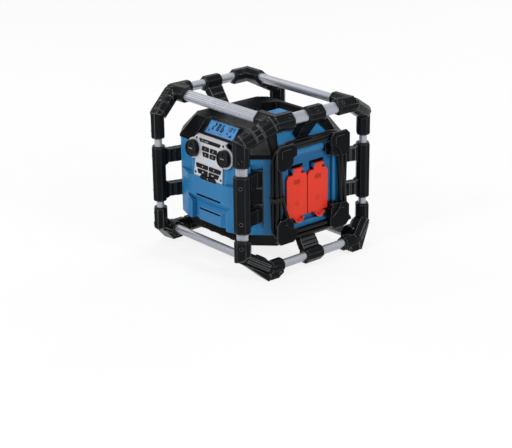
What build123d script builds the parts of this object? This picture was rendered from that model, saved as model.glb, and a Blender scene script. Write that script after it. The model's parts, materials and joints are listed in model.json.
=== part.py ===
"""Jobsite radio in a tubular roll cage, as an assembly of separate pieces.

Frame: millimetres, +Z up, the front faces -Y and the mains outlets face +X. The origin lies on the
floor, under the centre of the cage. Every function returns one sub-part in this frame.
"""
from build123d import *
from math import atan2, cos, degrees, hypot, radians, sin, tan
import os

# ---- general ------------------------------------------------------------------------------------
SEAT = 0.3  # gap between a piece and the seat that it is fitted into
RUN = 0.08  # radial running clearance of a shaft in its bore
SKIN = 4.0  # wall of the moulded casings

# ---- roll cage ----------------------------------------------------------------------------------
FLOOR_TO_MID = 176.0  # height of the middle of the post sleeves
POST_X, POST_Y = 146.0, 180.0  # axis of a post
TOP_SIDE_X, TOP_CROSS_Y = 176.0, 111.0  # axes of the top bars, which meet at a corner's node
BOTTOM_SIDE_X, BOTTOM_NODE_Y = 171.0, 126.0  # axis of a bottom side bar, and the node of a bottom corner
BOTTOM_CROSS_X, BOTTOM_CROSS_Y = 165.5, 137.4  # a bottom cross bar branches off the slanting leg here
TOP_BAR_Z = FLOOR_TO_MID + 174.3
BOTTOM_BAR_Z = FLOOR_TO_MID - 153.5
BOTTOM_CROSS_Z = FLOOR_TO_MID - 145.0
UPPER_BEND_Z = FLOOR_TO_MID + 135.5  # where a post's line turns in to the top corner
LOWER_BEND_Z = FLOOR_TO_MID - 121.0
SLEEVE_HALF = 65.4  # half the length of a post sleeve
TOP_ELBOW_END = FLOOR_TO_MID + 83.7  # open lower end of a top elbow
BOTTOM_ELBOW_END = FLOOR_TO_MID - 80.5  # open upper end of a bottom elbow
BAR_WIDE, BAR_THICK = 26.0, 17.0  # oval bar section
BAR_WALL = 2.4
POST_GRIP, TOP_GRIP, BOTTOM_GRIP = 32.0, 32.0, 22.0  # length of bar held in a socket
FLUTE_R = 1.3  # grooves along a bar's broad face
FLUTE_PITCH = 4.6
FLUTES = 4
SOCKET_WALL = 5.0  # moulded wall round a bar
SOCKET_CUT = 8.5  # corner cut of a moulding's section
TOP_SIDE_SOCKET, TOP_CROSS_SOCKET = 47.0, 54.0  # from a corner's node to a socket's mouth
BOTTOM_SIDE_SOCKET = 34.0
BOTTOM_CROSS_MOUTH = 136.0
TOP_CLAMP_LENGTH, BOTTOM_CLAMP_LENGTH = 48.0, 50.0  # along a side bar
SLEEVE_GAP = 2.0  # between the long sleeve of the left bottom clamp and an elbow's socket
MOUTH_BEVEL = 3.0  # bevel round a socket's mouth
FOOT_WIDE, FOOT_FRONT, FOOT_BACK = 30.0, 8.0, 14.0  # flat of a foot, on both sides of its corner's node
FOOT_RISE = 16.0  # length of the slope behind that flat, along the side socket
SHOE_PROUD = 13.0  # how far the wedge under a bottom elbow's leg stands out at its thick end
SHOE_START = 0.12  # where that wedge starts, as a share of the leg
ARM_LOW, ARM_HIGH = 25.0, 61.0  # span of an arm above and below the sleeve's middle
ARM_THICK = 18.0
ARM_GROOVES = 3
ARM_GROOVE = 3.0  # width of a groove
ARM_GROOVE_DEEP = 1.6
BRACKET_THICK = 5.0  # plate of an arm's bracket, in the corner recess
CLAMP_ARM_THICK = 18.0
TOP_CLAMP_FOOT, BOTTOM_CLAMP_FOOT = 34.0, 42.0  # width of a clamp's arm where it meets the casing
BOTTOM_CLAMP_SHARE = 0.66  # how far down the base's side that is
LEG_BANDS = ((0.04, 0.36), (0.39, 0.58), (0.61, 0.94))  # raised bands along an elbow's slanting leg
BAND_PROUD = 1.4
BAND_POCKET = 0.9  # depth of the pocket in a long band
RIDGE_WIDE, RIDGE_PROUD = 5.0, 1.6  # lengthwise ridges of a bottom elbow's leg
SCREW_R, SCREW_DEEP, SCREW_SUNK = 3.0, 3.0, 1.4

# ---- casing -------------------------------------------------------------------------------------
BODY_X, BODY_Y = 156.0, 140.5  # half widths of the blue shell
BODY_CUT = 42.0  # corner cut of its outline
SHELL_LOW = FLOOR_TO_MID - 88.0
SHELL_HIGH = FLOOR_TO_MID + 86.0
BASE_LOW = FLOOR_TO_MID - 124.0  # underside of the black base
BASE_TAPER = 17.0  # how far the base draws in at its underside
BASE_CUT = 48.0  # corner cut of its underside
BASE_RIBS = 5
BASE_RIB_STEP, BASE_RIB_THICK, BASE_RIB_DEEP = 36.0, 14.0, 3.0
COVER_LIP = 2.0  # overhang of the top cover
COVER_RIM = 6.0  # upright rim of the top cover
COVER_TOP = FLOOR_TO_MID + 133.0
TOP_X = 122.0  # half width of the flat top
TOP_FRONT, TOP_BACK = -105.0, 112.0
TOP_CUT = 20.0
TRAY_FRONT, TRAY_BACK = -10.0, 100.0  # well in the flat top
TRAY_FRONT_HALF, TRAY_MID_HALF, TRAY_BACK_HALF = 36.0, 74.0, 58.0
TRAY_MID = 66.0
TRAY_DEEP = 34.0
TRAY_WALL = 3.0
RECESS_NEAR, RECESS_FAR = 9.0, 37.0  # corner recess, measured along the cut from the front or back
RECESS_HALF, RECESS_DEEP = 75.0, 8.0
RECESS_SLANT = 14.0  # rise of its sloping ends

# ---- front --------------------------------------------------------------------------------------
FRONT_Y = -156.0  # foremost plane of the fascia
NOSE_HALF = 70.0  # half width of that plane
FASCIA_LOW = FLOOR_TO_MID - 91.0
LEDGE_Z = FLOOR_TO_MID + 15.0  # step under the control panel
PLATFORM_HALF = 50.0  # raised ground behind the control panel
PLATFORM_EDGE_Y, VALLEY_Y = -152.5, -144.5
PANEL_FOOT_Z, PANEL_FOOT_Y = FLOOR_TO_MID + 10.0, -156.0  # the panel leans back from here
PANEL_HEAD_Z, PANEL_HEAD_Y = FLOOR_TO_MID + 102.0, -147.0
PANEL_THICK = 2.5
PANEL_LOW, PANEL_HIGH = 5.8, 95.0  # along the leaning plane
PANEL_FOOT_HALF, PANEL_NECK_HALF, PANEL_TOP_HALF = 49.0, 48.0, 56.0
PANEL_FLANGE = 10.0  # the panel's head bends back by this much
HEAD_TOP = FLOOR_TO_MID + 102.0  # top of the fascia behind the panel's head
KNOB_X, KNOB_V = 55.0, 65.3  # place on the leaning plane
KNOB_R, KNOB_HIGH = 19.3, 10.5
KNOB_LIFT = 0.6  # gap under a knob
LOBE_R = 24.0  # round ends of the panel behind the knobs
SHAFT_R, SHAFT_LONG = 3.0, 13.0
BUTTON_PROUD, BUTTON_DEEP = 1.6, 5.0
BUTTON_GAP = 0.4
BUTTON_TRAVEL = 1.2
BOARD_THICK = 1.6
RECESS_TOP_Z, RECESS_CORNER_Z = FLOOR_TO_MID - 31.0, FLOOR_TO_MID - 52.0  # recess round the hood
RECESS_TOP_HALF, RECESS_LOW_HALF = 78.0, 60.0
RECESS_Y = -143.0
HOOD_Y = -152.5
HOOD_LOW, HOOD_HIGH = FLOOR_TO_MID - 90.5, FLOOR_TO_MID - 53.0
PORT_HALF, PORT_Z, PORT_TALL = 42.0, FLOOR_TO_MID - 29.0, 5.0  # bass port over the recess
HOOD_PORT_HALF, HOOD_PORT_Z, HOOD_PORT_TALL = 37.0, FLOOR_TO_MID - 62.0, 4.6
PORT_DEEP = 9.0

# ---- display ------------------------------------------------------------------------------------
DISPLAY_Y, DISPLAY_Z = -113.7, FLOOR_TO_MID + 120.7  # middle of the display's plane
DISPLAY_TILT = 50.8  # of that plane, from the floor
LCD_LONG, LCD_TALL, LCD_THICK = 97.0, 31.0, 5.0
LENS_THICK = 1.5
BEZEL_HALF = 63.0
BEZEL_THICK = 4.0

# ---- outlet side --------------------------------------------------------------------------------
OUTLET_FACE_X = 151.0  # floor of the outlet recess
OUTLET_HALF, OUTLET_LOW, OUTLET_HIGH = 78.0, FLOOR_TO_MID - 78.0, FLOOR_TO_MID + 82.0
OUTLET_THICK = 3.0
FLAP_WIDE, FLAP_GAP = 60.0, 2.0
FLAP_LOW, FLAP_HIGH = FLOOR_TO_MID - 61.0, FLOOR_TO_MID + 37.0
FLAP_INNER_X, FLAP_THICK = 152.3, 4.2
FLAP_SHOULDER = 9.0
HINGE_X, HINGE_Z = 157.5, FLOOR_TO_MID + 49.0  # flap pin
KNUCKLE_R, KNUCKLE_LONG = 4.2, 25.0
EAR_THICK = 5.0
PIN_R = 1.5
TAB_R, TAB_PROUD = 14.0, 9.0
SOCKET_R = 21.0
HOOK_X, HOOK_THICK = 174.0, 5.0  # flange of a cord hook
HOOK_NEAR, HOOK_FAR = 50.0, 108.0
HOOK_MIRROR = FLOOR_TO_MID + 6.0  # the upper hooks are the lower ones mirrored about this height
HOOK_LOW, HOOK_HIGH = FLOOR_TO_MID - 106.5, FLOOR_TO_MID - 50.0  # of a lower hook
HOOK_STEM_NEAR = 56.0
HOOK_PLATE_X = 161.0  # face of a hook's foot plate
CORD_R = 4.25
WIND_NEAR = 82.0  # inner half width of the winding
WIND_FAR = 112.0
WIND_TOP_IN, WIND_TOP_OUT = FLOOR_TO_MID + 98.0, FLOOR_TO_MID + 116.5
WIND_LOW_IN, WIND_LOW_OUT = FLOOR_TO_MID - 80.0, FLOOR_TO_MID - 110.0
WIND_X0, WIND_X1 = 158.0, 173.4

# ---- rear and inside ----------------------------------------------------------------------------
DOOR_HALF, DOOR_LOW, DOOR_HIGH = 68.0, FLOOR_TO_MID - 74.0, FLOOR_TO_MID + 40.0
DOOR_THICK = 3.5
DOOR_PIN_OUT = 3.5  # the door's pin stands this far out of the rear face
DOOR_PIN_BESIDE = 2.5  # and this far beside the door's edge
PACK_X, PACK_Y, PACK_Z = 76.0, 80.0, 62.0
WOOFER_R, WOOFER_DEEP = 52.0, 42.0
TWEETER_R, TWEETER_DEEP = 17.0, 14.0

PARTS = "parts"
CORNERS = {"front_left": (-1, -1), "front_right": (1, -1), "rear_left": (-1, 1), "rear_right": (1, 1)}


# ---- helpers ------------------------------------------------------------------------------------
def octagon(half_x, half_y, cut):
    """Rectangle with equal 45 degree corner cuts, as a face on the floor."""
    return chamfer(Rectangle(2 * half_x, 2 * half_y).vertices(), cut)


def tapered(low, low_z, high, high_z):
    """Straight-sided solid between two faces of as many sides."""
    return loft([Pos(0, 0, low_z) * low, Pos(0, 0, high_z) * high], ruled=True)


def prism(points, low, high):
    """Upright prism over a list of X, Y points."""
    return extrude(Pos(0, 0, low) * make_face(Polyline(*points, close=True)), high - low)


def slab(plane, points, out, depth):
    """Prism over points of a plane, from out (along its normal) back by depth."""
    face = make_face(Polyline(*points, close=True))
    return plane * (Pos(0, 0, out - depth) * extrude(face, depth))


def box(x0, x1, y0, y1, z0, z1):
    """Box between named corners."""
    return Pos((x0 + x1) / 2, (y0 + y1) / 2, (z0 + z1) / 2) * Box(x1 - x0, y1 - y0, z1 - z0)


def mirror_points(points):
    """Closed outline from its right half, listed upwards."""
    return points + [(-x, y) for x, y in reversed(points)]


def oval(wide, thick):
    """Bar section: a rectangle whose corners are rounded off almost to a full oval."""
    return RectangleRounded(wide, thick, 0.46 * thick)


def bar_plane(start, end, outward):
    """Plane across a bar from start to end, whose local Y looks outward."""
    along = (Vector(*end) - Vector(*start)).normalized()
    side = Vector(*outward).cross(along).normalized()
    return Plane(origin=start, x_dir=side, z_dir=along)


def moulding(wide, thick, cut=None):
    """Section of a moulded socket: a rectangle with its corners cut off."""
    return chamfer(Rectangle(wide, thick).vertices(), SOCKET_CUT if cut is None else cut)


def rod(section, start, end, outward, bevel=0.0, before=0.0, after=0.0):
    """Rod between two points, with its broad face outward, run on past either end."""
    length = (Vector(*end) - Vector(*start)).length
    solid = Pos(0, 0, -before) * extrude(section, before + length + after)
    if bevel:
        solid = chamfer(solid.edges().group_by(Axis.Z)[-1], bevel)
    return bar_plane(start, end, outward) * solid


def behind(point, normal):
    """Everything behind a plane through a point."""
    return Plane(origin=point, z_dir=normal) * (Pos(0, 0, -100) * Box(400, 400, 200))


def bar(start, end, outward):
    """Hollow extruded bar with flutes along its outer broad face."""
    length = (Vector(*end) - Vector(*start)).length
    section = oval(BAR_WIDE, BAR_THICK) - oval(BAR_WIDE - 2 * BAR_WALL, BAR_THICK - 2 * BAR_WALL)
    first = -(FLUTES - 1) * FLUTE_PITCH / 2
    for i in range(FLUTES):
        section -= Pos(first + i * FLUTE_PITCH, BAR_THICK / 2 + FLUTE_R / 3) * Circle(FLUTE_R)
    return bar_plane(start, end, outward) * extrude(section, length)


def bar_bore(start, end, outward):
    """Space that a socket leaves for a bar."""
    return rod(oval(BAR_WIDE + 2 * SEAT, BAR_THICK + 2 * SEAT), start, end, outward)


def screw_at(point, outward, radius=SCREW_R):
    """Screw head, and the larger pocket that it is sunk into."""
    plane = Plane(origin=point, z_dir=outward)
    head = plane * (Pos(0, 0, -SCREW_SUNK - SCREW_DEEP) * extrude(Circle(radius), SCREW_DEEP))
    head -= plane * (Pos(0, 0, -SCREW_SUNK - 1.0) * extrude(Rectangle(radius, radius / 4), 1.0))
    pocket = plane * (Pos(0, 0, -SCREW_SUNK - SCREW_DEEP) * extrude(Circle(radius + SEAT), 20.0))
    return head, pocket


def facet_plane(low_a, low_b, high_mid):
    """Plane on a sloping facet: origin at the middle of its lower edge, local Y up the slope."""
    a, b, top = Vector(*low_a), Vector(*low_b), Vector(*high_mid)
    middle = (a + b) * 0.5
    across = (b - a).normalized()
    return Plane(origin=middle, x_dir=across, z_dir=across.cross(top - middle).normalized())


def write(name, shape):
    """Write one sub-part; several solids stay a group."""
    solids = shape.solids()
    export_step(solids[0] if len(solids) == 1 else Compound(children=list(solids)), f"{PARTS}/{name}.step")


# ---- cage lines ---------------------------------------------------------------------------------
def post_out(sx, sy):
    """Outward direction of a post's broad face."""
    return (sx * POST_X, sy * POST_Y, 0)


def side_out(sx, top):
    """Outward direction of a side bar's broad face."""
    return (sx, 0, 1 if top else -1)


def cross_out(sy, top):
    """Outward direction of a cross bar's broad face."""
    return (0, sy, 1 if top else -1)


SOCKET_WIDE = BAR_WIDE + 2 * SOCKET_WALL
SOCKET_THICK = BAR_THICK + 2 * SOCKET_WALL + 3.0
RUN_ON = 24.0  # how far a rod runs on past a bend before it is mitred


def corner_points(sx, sy, top):
    """Points of one corner: post mouth, bend, node, side mouth, root and mouth of the cross socket."""
    bend_z, node_z = (UPPER_BEND_Z, TOP_BAR_Z) if top else (LOWER_BEND_Z, BOTTOM_BAR_Z)
    mouth = (sx * POST_X, sy * POST_Y, TOP_ELBOW_END if top else BOTTOM_ELBOW_END)
    bend = (sx * POST_X, sy * POST_Y, bend_z)
    side_x, node_y = (TOP_SIDE_X, TOP_CROSS_Y) if top else (BOTTOM_SIDE_X, BOTTOM_NODE_Y)
    node = (sx * side_x, sy * node_y, node_z)
    side = (sx * side_x, sy * (node_y - (TOP_SIDE_SOCKET if top else BOTTOM_SIDE_SOCKET)), node_z)
    root = node if top else (sx * BOTTOM_CROSS_X, sy * BOTTOM_CROSS_Y, BOTTOM_CROSS_Z)
    cross = (sx * (TOP_SIDE_X - TOP_CROSS_SOCKET if top else BOTTOM_CROSS_MOUTH), root[1], root[2])
    return mouth, bend, node, side, root, cross


def direction(start, end):
    """Unit vector between two points."""
    return (Vector(*end) - Vector(*start)).normalized()


def leg_out(sy, top):
    """Outward direction of the banded face of an elbow's slanting leg."""
    return (0, sy * 0.49, 0.87) if top else (0, sy * 0.515, -0.857)


def elbow(sx, sy, top):
    """Corner elbow: post socket, slanting leg, side socket and cross socket in one moulding."""
    mouth, bend, node, side, root, cross = corner_points(sx, sy, top)
    section = moulding(SOCKET_WIDE, SOCKET_THICK)
    first, second, third = direction(mouth, bend), direction(bend, node), direction(node, side)
    solid = rod(section, bend, mouth, post_out(sx, sy), MOUTH_BEVEL, RUN_ON) & behind(bend, first + second)
    leg = rod(section, bend, node, leg_out(sy, top), 0, RUN_ON, RUN_ON) + leg_relief(bend, node, sx, sy, top)
    solid += leg & behind(bend, -(first + second)) & behind(node, second + third)
    side_rod = rod(section, node, side, side_out(sx, top), MOUTH_BEVEL, RUN_ON)
    solid += side_rod & behind(node, -(second + third))
    solid += rod(section, root, cross, cross_out(sy, top), MOUTH_BEVEL)
    if not top:
        solid += foot(sx, sy)
    for start, end, outward in elbow_bores(sx, sy, top):
        solid -= bar_bore(start, end, outward)
    for point, outward in elbow_screws(sx, sy, top):
        solid -= screw_at(point, outward)[1]
    return solid


def leg_relief(bend, node, sx, sy, top):
    """Raised bands round the upper part of a leg, or ridges along a bottom elbow's leg."""
    length = (Vector(*node) - Vector(*bend)).length
    plane = bar_plane(bend, node, leg_out(sy, top))
    if not top:
        ridges = Part()
        for across in (-1, 1):
            for y in (-5.5, 4.5):
                x = across * (SOCKET_WIDE + RIDGE_PROUD) / 2
                ridges += Pos(x, y, length / 2) * Box(RIDGE_PROUD, RIDGE_WIDE, 0.8 * length)
        return plane * ridges + shoe(bend, node, sy)
    bands = Part()
    wide, thick = SOCKET_WIDE + 2 * BAND_PROUD, SOCKET_THICK + 2 * BAND_PROUD
    for low, high in LEG_BANDS:
        long = (high - low) * length
        band = Pos(0, 0, low * length) * extrude(moulding(wide, thick, SOCKET_CUT + 0.5), long)
        if high - low > 0.25:
            pocket = Pos(0, thick / 2, (low + high) / 2 * length)
            frame = Box(11.0, 2 * BAND_POCKET, 0.62 * long) - Box(8.6, 3 * BAND_POCKET, 0.62 * long - 2.4)
            band -= pocket * frame
        bands += band
    return plane * bands


def foot(sx, sy):
    """Foot under a bottom elbow: flat on the floor, then rising along the side socket."""
    back, front = BOTTOM_NODE_Y - FOOT_BACK, BOTTOM_NODE_Y + FOOT_FRONT
    low = BOTTOM_BAR_Z - SOCKET_THICK / 2
    outline = [(back - FOOT_RISE, low + 2.0), (back, 0.0), (front, 0.0), (front + 4.0, 3.0),
               (front + 4.0, BOTTOM_BAR_Z - 6.0), (back - FOOT_RISE, BOTTOM_BAR_Z - 6.0)]
    side = Plane(origin=(BOTTOM_SIDE_X - FOOT_WIDE / 2, 0, 0), x_dir=(0, 1, 0), z_dir=(1, 0, 0))
    block = side * extrude(make_face(Polyline(*outline, close=True)), FOOT_WIDE)
    return mirrored(block, sx, sy)


def shoe(bend, node, sy):
    """Wedge under a bottom elbow's leg that grows thicker towards the foot, clear of the floor."""
    length = (Vector(*node) - Vector(*bend)).length
    face = SOCKET_THICK / 2
    outline = [(face - 2.0, SHOE_START * length), (face, SHOE_START * length),
               (face + SHOE_PROUD, length + 6.0), (face - 2.0, length + 6.0)]
    side = Plane(origin=(-FOOT_WIDE / 2, 0, 0), x_dir=(0, 1, 0), z_dir=(1, 0, 0))
    wedge = side * extrude(make_face(Polyline(*outline, close=True)), FOOT_WIDE)
    floor = box(-BOTTOM_SIDE_X - 60, BOTTOM_SIDE_X + 60, -POST_Y - 60, POST_Y + 60, -60, 0)
    return bar_plane(bend, node, leg_out(sy, False)) * wedge - floor


def mirrored(solid, sx, sy):
    """Copy of a solid made for the +X, +Y quarter, in another quarter."""
    if sx < 0:
        solid = mirror(solid, about=Plane.YZ)
    if sy < 0:
        solid = mirror(solid, about=Plane.XZ)
    return solid


def elbow_bores(sx, sy, top):
    """Start, end and direction of the three bar seats of an elbow."""
    mouth, _, _, side, _, cross = corner_points(sx, sy, top)
    reach = 1.0
    lift = 1 if top else -1
    grip = (TOP_GRIP if top else BOTTOM_GRIP) + SEAT
    return [
        ((mouth[0], mouth[1], mouth[2] - lift * reach), (mouth[0], mouth[1], mouth[2] + lift * (POST_GRIP + SEAT)),
         post_out(sx, sy)),
        ((side[0], side[1] - sy * reach, side[2]), (side[0], side[1] + sy * grip, side[2]), side_out(sx, top)),
        ((cross[0] - sx * reach, cross[1], cross[2]), (cross[0] + sx * grip, cross[1], cross[2]), cross_out(sy, top)),
    ]


def on_face(point, outward, thick):
    """Point on the outer broad face of a moulding round a bar."""
    out = Vector(*outward).normalized()
    return tuple(Vector(*point) + out * (thick / 2))


def elbow_screws(sx, sy, top):
    """Screws through an elbow's post socket and side socket."""
    mouth, _, _, side, _, _ = corner_points(sx, sy, top)
    lift = 1 if top else -1
    at_post = (mouth[0], mouth[1], mouth[2] + lift * 16.0)
    at_side = (side[0], side[1] + sy * 14.0, side[2])
    out = side_out(sx, top)
    return [(on_face(at_post, post_out(sx, sy), SOCKET_THICK), post_out(sx, sy)),
            (on_face(at_side, out, SOCKET_THICK), out)]


def post_tubes():
    """Four upright tubes, from bottom elbow to top elbow."""
    tubes = Part()
    for sx, sy in CORNERS.values():
        low, high = BOTTOM_ELBOW_END - POST_GRIP, TOP_ELBOW_END + POST_GRIP
        tubes += bar((sx * POST_X, sy * POST_Y, low), (sx * POST_X, sy * POST_Y, high), post_out(sx, sy))
    return tubes


def side_bars():
    """Bars along Y at the left and right, top and bottom."""
    bars = Part()
    for top in (True, False):
        for sx in (-1, 1):
            side = corner_points(sx, 1, top)[3]
            end = side[1] + (TOP_GRIP if top else BOTTOM_GRIP)
            bars += bar((side[0], -end, side[2]), (side[0], end, side[2]), side_out(sx, top))
    return bars


def cross_bars():
    """Bars along X at the front and rear, top and bottom."""
    bars = Part()
    for top in (True, False):
        for sy in (-1, 1):
            cross = corner_points(1, sy, top)[5]
            end = cross[0] + (TOP_GRIP if top else BOTTOM_GRIP)
            bars += bar((-end, cross[1], cross[2]), (end, cross[1], cross[2]), cross_out(sy, top))
    return bars


# ---- post sleeves with their arms ---------------------------------------------------------------
def recess_middle():
    """Middle of a corner recess on the +X, +Y corner, and the corner face's direction."""
    along = (RECESS_NEAR + RECESS_FAR) / 2 / 2 ** 0.5
    return BODY_X - BODY_CUT + along, BODY_Y - along


def corner_frame():
    """Plane on the floor of the +X, +Y corner recess; local X runs level, local Y up."""
    x, y = recess_middle()
    inward = RECESS_DEEP / 2 ** 0.5
    return Plane(origin=(x - inward, y - inward, FLOOR_TO_MID), x_dir=(-1, 1, 0), z_dir=(1, 1, 0))


def arm_frame():
    """Plane of an arm: local X from the post to the recess, local Y up, local Z across."""
    x, y = recess_middle()
    half_in = RECESS_DEEP / 2 / 2 ** 0.5
    along = Vector(x - half_in - POST_X, y - half_in - POST_Y, 0).normalized()
    return Plane(origin=(POST_X, POST_Y, FLOOR_TO_MID), x_dir=along, z_dir=along.cross(Vector(0, 0, 1)))


def post_sleeve(sx, sy):
    """Sleeve on a post, with two ribbed arms that end in a bracket in the body's corner recess."""
    low, high = FLOOR_TO_MID - SLEEVE_HALF, FLOOR_TO_MID + SLEEVE_HALF
    solid = extrude(moulding(SOCKET_WIDE, SOCKET_THICK), 2 * SLEEVE_HALF)
    for group in (0, -1):
        solid = chamfer(solid.edges().group_by(Axis.Z)[group], MOUTH_BEVEL)
    solid = bar_plane((POST_X, POST_Y, low), (POST_X, POST_Y, high), post_out(1, 1)) * solid
    frame = arm_frame()
    reach = hypot(POST_X - recess_middle()[0], POST_Y - recess_middle()[1]) + RECESS_DEEP + 4.0
    for sign in (-1, 1):
        solid += frame * arm(sign, reach)
    half = (RECESS_FAR - RECESS_NEAR) / 2 - 1.0
    tall = RECESS_HALF - RECESS_SLANT - SEAT
    plate = slab(corner_frame(), mirror_points([(half, -tall), (half, tall)]), BRACKET_THICK, BRACKET_THICK)
    solid = solid - behind_corner() + plate
    for group_z in (-1, 1):
        solid -= sleeve_groove(group_z)
    solid -= bar_bore((POST_X, POST_Y, low - 1), (POST_X, POST_Y, high + 1), post_out(1, 1))
    for point, outward in sleeve_screws(1, 1):
        solid -= screw_at(point, outward)[1]
    return mirrored(solid, sx, sy)


def arm(sign, reach):
    """One arm in its own plane: broad at the sleeve, with upright grooves on both faces."""
    low, high = ARM_LOW, ARM_HIGH
    outline = [(4, low - 9), (13, low - 6), (22, low), (reach, low), (reach, high - 3), (24, high - 5),
               (12, high), (4, high + 1)]
    face = make_face(Polyline(*[(x, sign * y) for x, y in outline], close=True))
    solid = Pos(0, 0, -ARM_THICK / 2) * extrude(face, ARM_THICK)
    pitch = (reach - 22.0) / (ARM_GROOVES + 0.5)
    for i in range(ARM_GROOVES):
        x = 21.0 + i * pitch
        for side in (-1, 1):
            z = side * (ARM_THICK / 2 - ARM_GROOVE_DEEP / 2)
            solid -= Pos(x, 0, z) * Box(ARM_GROOVE, 3 * SLEEVE_HALF, ARM_GROOVE_DEEP)
    return solid


def behind_corner():
    """Everything behind the floor of the +X, +Y corner recess."""
    return corner_frame() * (Pos(0, 0, -60) * Box(160, 300, 120))


def sleeve_groove(sign):
    """Level groove round the bracket plate, between the arms."""
    frame = corner_frame()
    return frame * (Pos(0, sign * (ARM_LOW - 5.0), BRACKET_THICK) * Box(60, 2.0, 2.4))


def sleeve_screws(sx, sy):
    """Two screws on the outer face of a sleeve."""
    outward = post_out(sx, sy)
    spots = [(sx * POST_X, sy * POST_Y, FLOOR_TO_MID + dz) for dz in (-0.62 * SLEEVE_HALF, 0.62 * SLEEVE_HALF)]
    return [(on_face(spot, outward, SOCKET_THICK), outward) for spot in spots]


# ---- side clamps --------------------------------------------------------------------------------
def slope_point(up):
    """Point on the right-hand slope of the casing, a distance up from its lower edge."""
    angle = atan2(COVER_TOP - SHELL_HIGH, BODY_X - TOP_X)
    return BODY_X - up * cos(angle), SHELL_HIGH + up * sin(angle), angle


def top_clamp():
    """Clamp on the right-hand top bar, with a ribbed arm down to the casing's slope."""
    x, z, angle = slope_point(40.0)
    frame = Plane(origin=(x, 0, z), x_dir=(0, 1, 0), z_dir=(sin(angle), 0, cos(angle)))
    return clamp(TOP_SIDE_X, TOP_BAR_Z, True, frame, TOP_CLAMP_LENGTH)


def bottom_clamp(sleeve):
    """Clamp on the right-hand bottom bar, with a ribbed arm up to the base's side."""
    drop = SHELL_LOW - BASE_LOW
    angle = atan2(BASE_TAPER, drop)
    frame = Plane(origin=(BODY_X - BOTTOM_CLAMP_SHARE * BASE_TAPER, 0, SHELL_LOW - BOTTOM_CLAMP_SHARE * drop),
                  x_dir=(0, 1, 0), z_dir=(cos(angle), 0, -sin(angle)))
    return clamp(BOTTOM_SIDE_X, BOTTOM_BAR_Z, False, frame, sleeve)


def bottom_clamps():
    """Both bottom clamps; the left one's sleeve covers its bar from socket to socket."""
    sleeve = 2 * (BOTTOM_NODE_Y - BOTTOM_SIDE_SOCKET - SLEEVE_GAP)
    return bottom_clamp(BOTTOM_CLAMP_LENGTH) + mirror(bottom_clamp(sleeve), about=Plane.YZ)


def clamp(bar_x, bar_z, top, frame, sleeve):
    """Sleeve on a side bar with an arm whose foot lies on the plane of frame."""
    long, narrow = (TOP_CLAMP_LENGTH, TOP_CLAMP_FOOT) if top else (BOTTOM_CLAMP_LENGTH, BOTTOM_CLAMP_FOOT)
    start, end = (bar_x, -sleeve / 2, bar_z), (bar_x, sleeve / 2, bar_z)
    outward = side_out(1, top)
    solid = extrude(moulding(SOCKET_WIDE, SOCKET_THICK), sleeve)
    for group in (0, -1):
        solid = chamfer(solid.edges().group_by(Axis.Z)[group], MOUTH_BEVEL)
    solid = bar_plane(start, end, outward) * solid
    to_bar = Vector(bar_x, 0, bar_z) - frame.origin
    reach = to_bar.length
    across = Plane(origin=frame.origin, x_dir=(0, 1, 0), z_dir=to_bar.normalized())
    low = Rectangle(narrow, CLAMP_ARM_THICK)
    mid = Rectangle(narrow + 4.0, CLAMP_ARM_THICK)
    high = Rectangle(long - 2 * MOUTH_BEVEL, CLAMP_ARM_THICK + 4.0)
    waist = reach - SOCKET_THICK / 2 - 12.0
    arm_solid = loft([Pos(0, 0, -12) * low, Pos(0, 0, waist) * mid], ruled=True)
    arm_solid += loft([Pos(0, 0, waist) * mid, Pos(0, 0, reach) * high], ruled=True)
    for i in range(4):
        z = 5.0 + i * (reach - 22.0) / 3
        for side in (-1, 1):
            arm_solid -= Pos(0, side * (CLAMP_ARM_THICK / 2 + 1.0), z) * Box(80, 2 * ARM_GROOVE_DEEP, ARM_GROOVE)
    solid += across * arm_solid
    solid -= frame * (Pos(0, 0, -60) * Box(200, 200, 120))
    solid -= bar_bore((bar_x, start[1] - 1, bar_z), (bar_x, end[1] + 1, bar_z), outward)
    return solid - screw_at(*clamp_screw(1, top))[1]


def clamp_screw(sx, top):
    """Screw on the outer face of a clamp."""
    x, z = (TOP_SIDE_X, TOP_BAR_Z) if top else (BOTTOM_SIDE_X, BOTTOM_BAR_Z)
    outward = side_out(sx, top)
    return on_face((sx * x, 0, z), outward, SOCKET_THICK), outward


def pair(solid):
    """A right-hand piece and its mirror image."""
    return solid + mirror(solid, about=Plane.YZ)


# ---- casing -------------------------------------------------------------------------------------
def corner_recess():
    """Recess in the +X, +Y corner of the shell, with sloping ends."""
    half = (RECESS_FAR - RECESS_NEAR) / 2
    floor = mirror_points([(half, -RECESS_HALF + RECESS_SLANT), (half, RECESS_HALF - RECESS_SLANT)])
    mouth = mirror_points([(half, -RECESS_HALF), (half, RECESS_HALF)])
    floor_face = make_face(Polyline(*floor, close=True))
    mouth_face = make_face(Polyline(*mouth, close=True))
    return corner_frame() * loft([floor_face, Pos(0, 0, RECESS_DEEP + 0.01) * mouth_face], ruled=True)


def corner_backing():
    """Thickening of the shell behind a corner recess."""
    half = (RECESS_FAR - RECESS_NEAR) / 2 + SKIN
    points = mirror_points([(half, -RECESS_HALF - SKIN), (half, RECESS_HALF + SKIN)])
    return slab(corner_frame(), points, RECESS_DEEP, RECESS_DEEP + SKIN)


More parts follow.
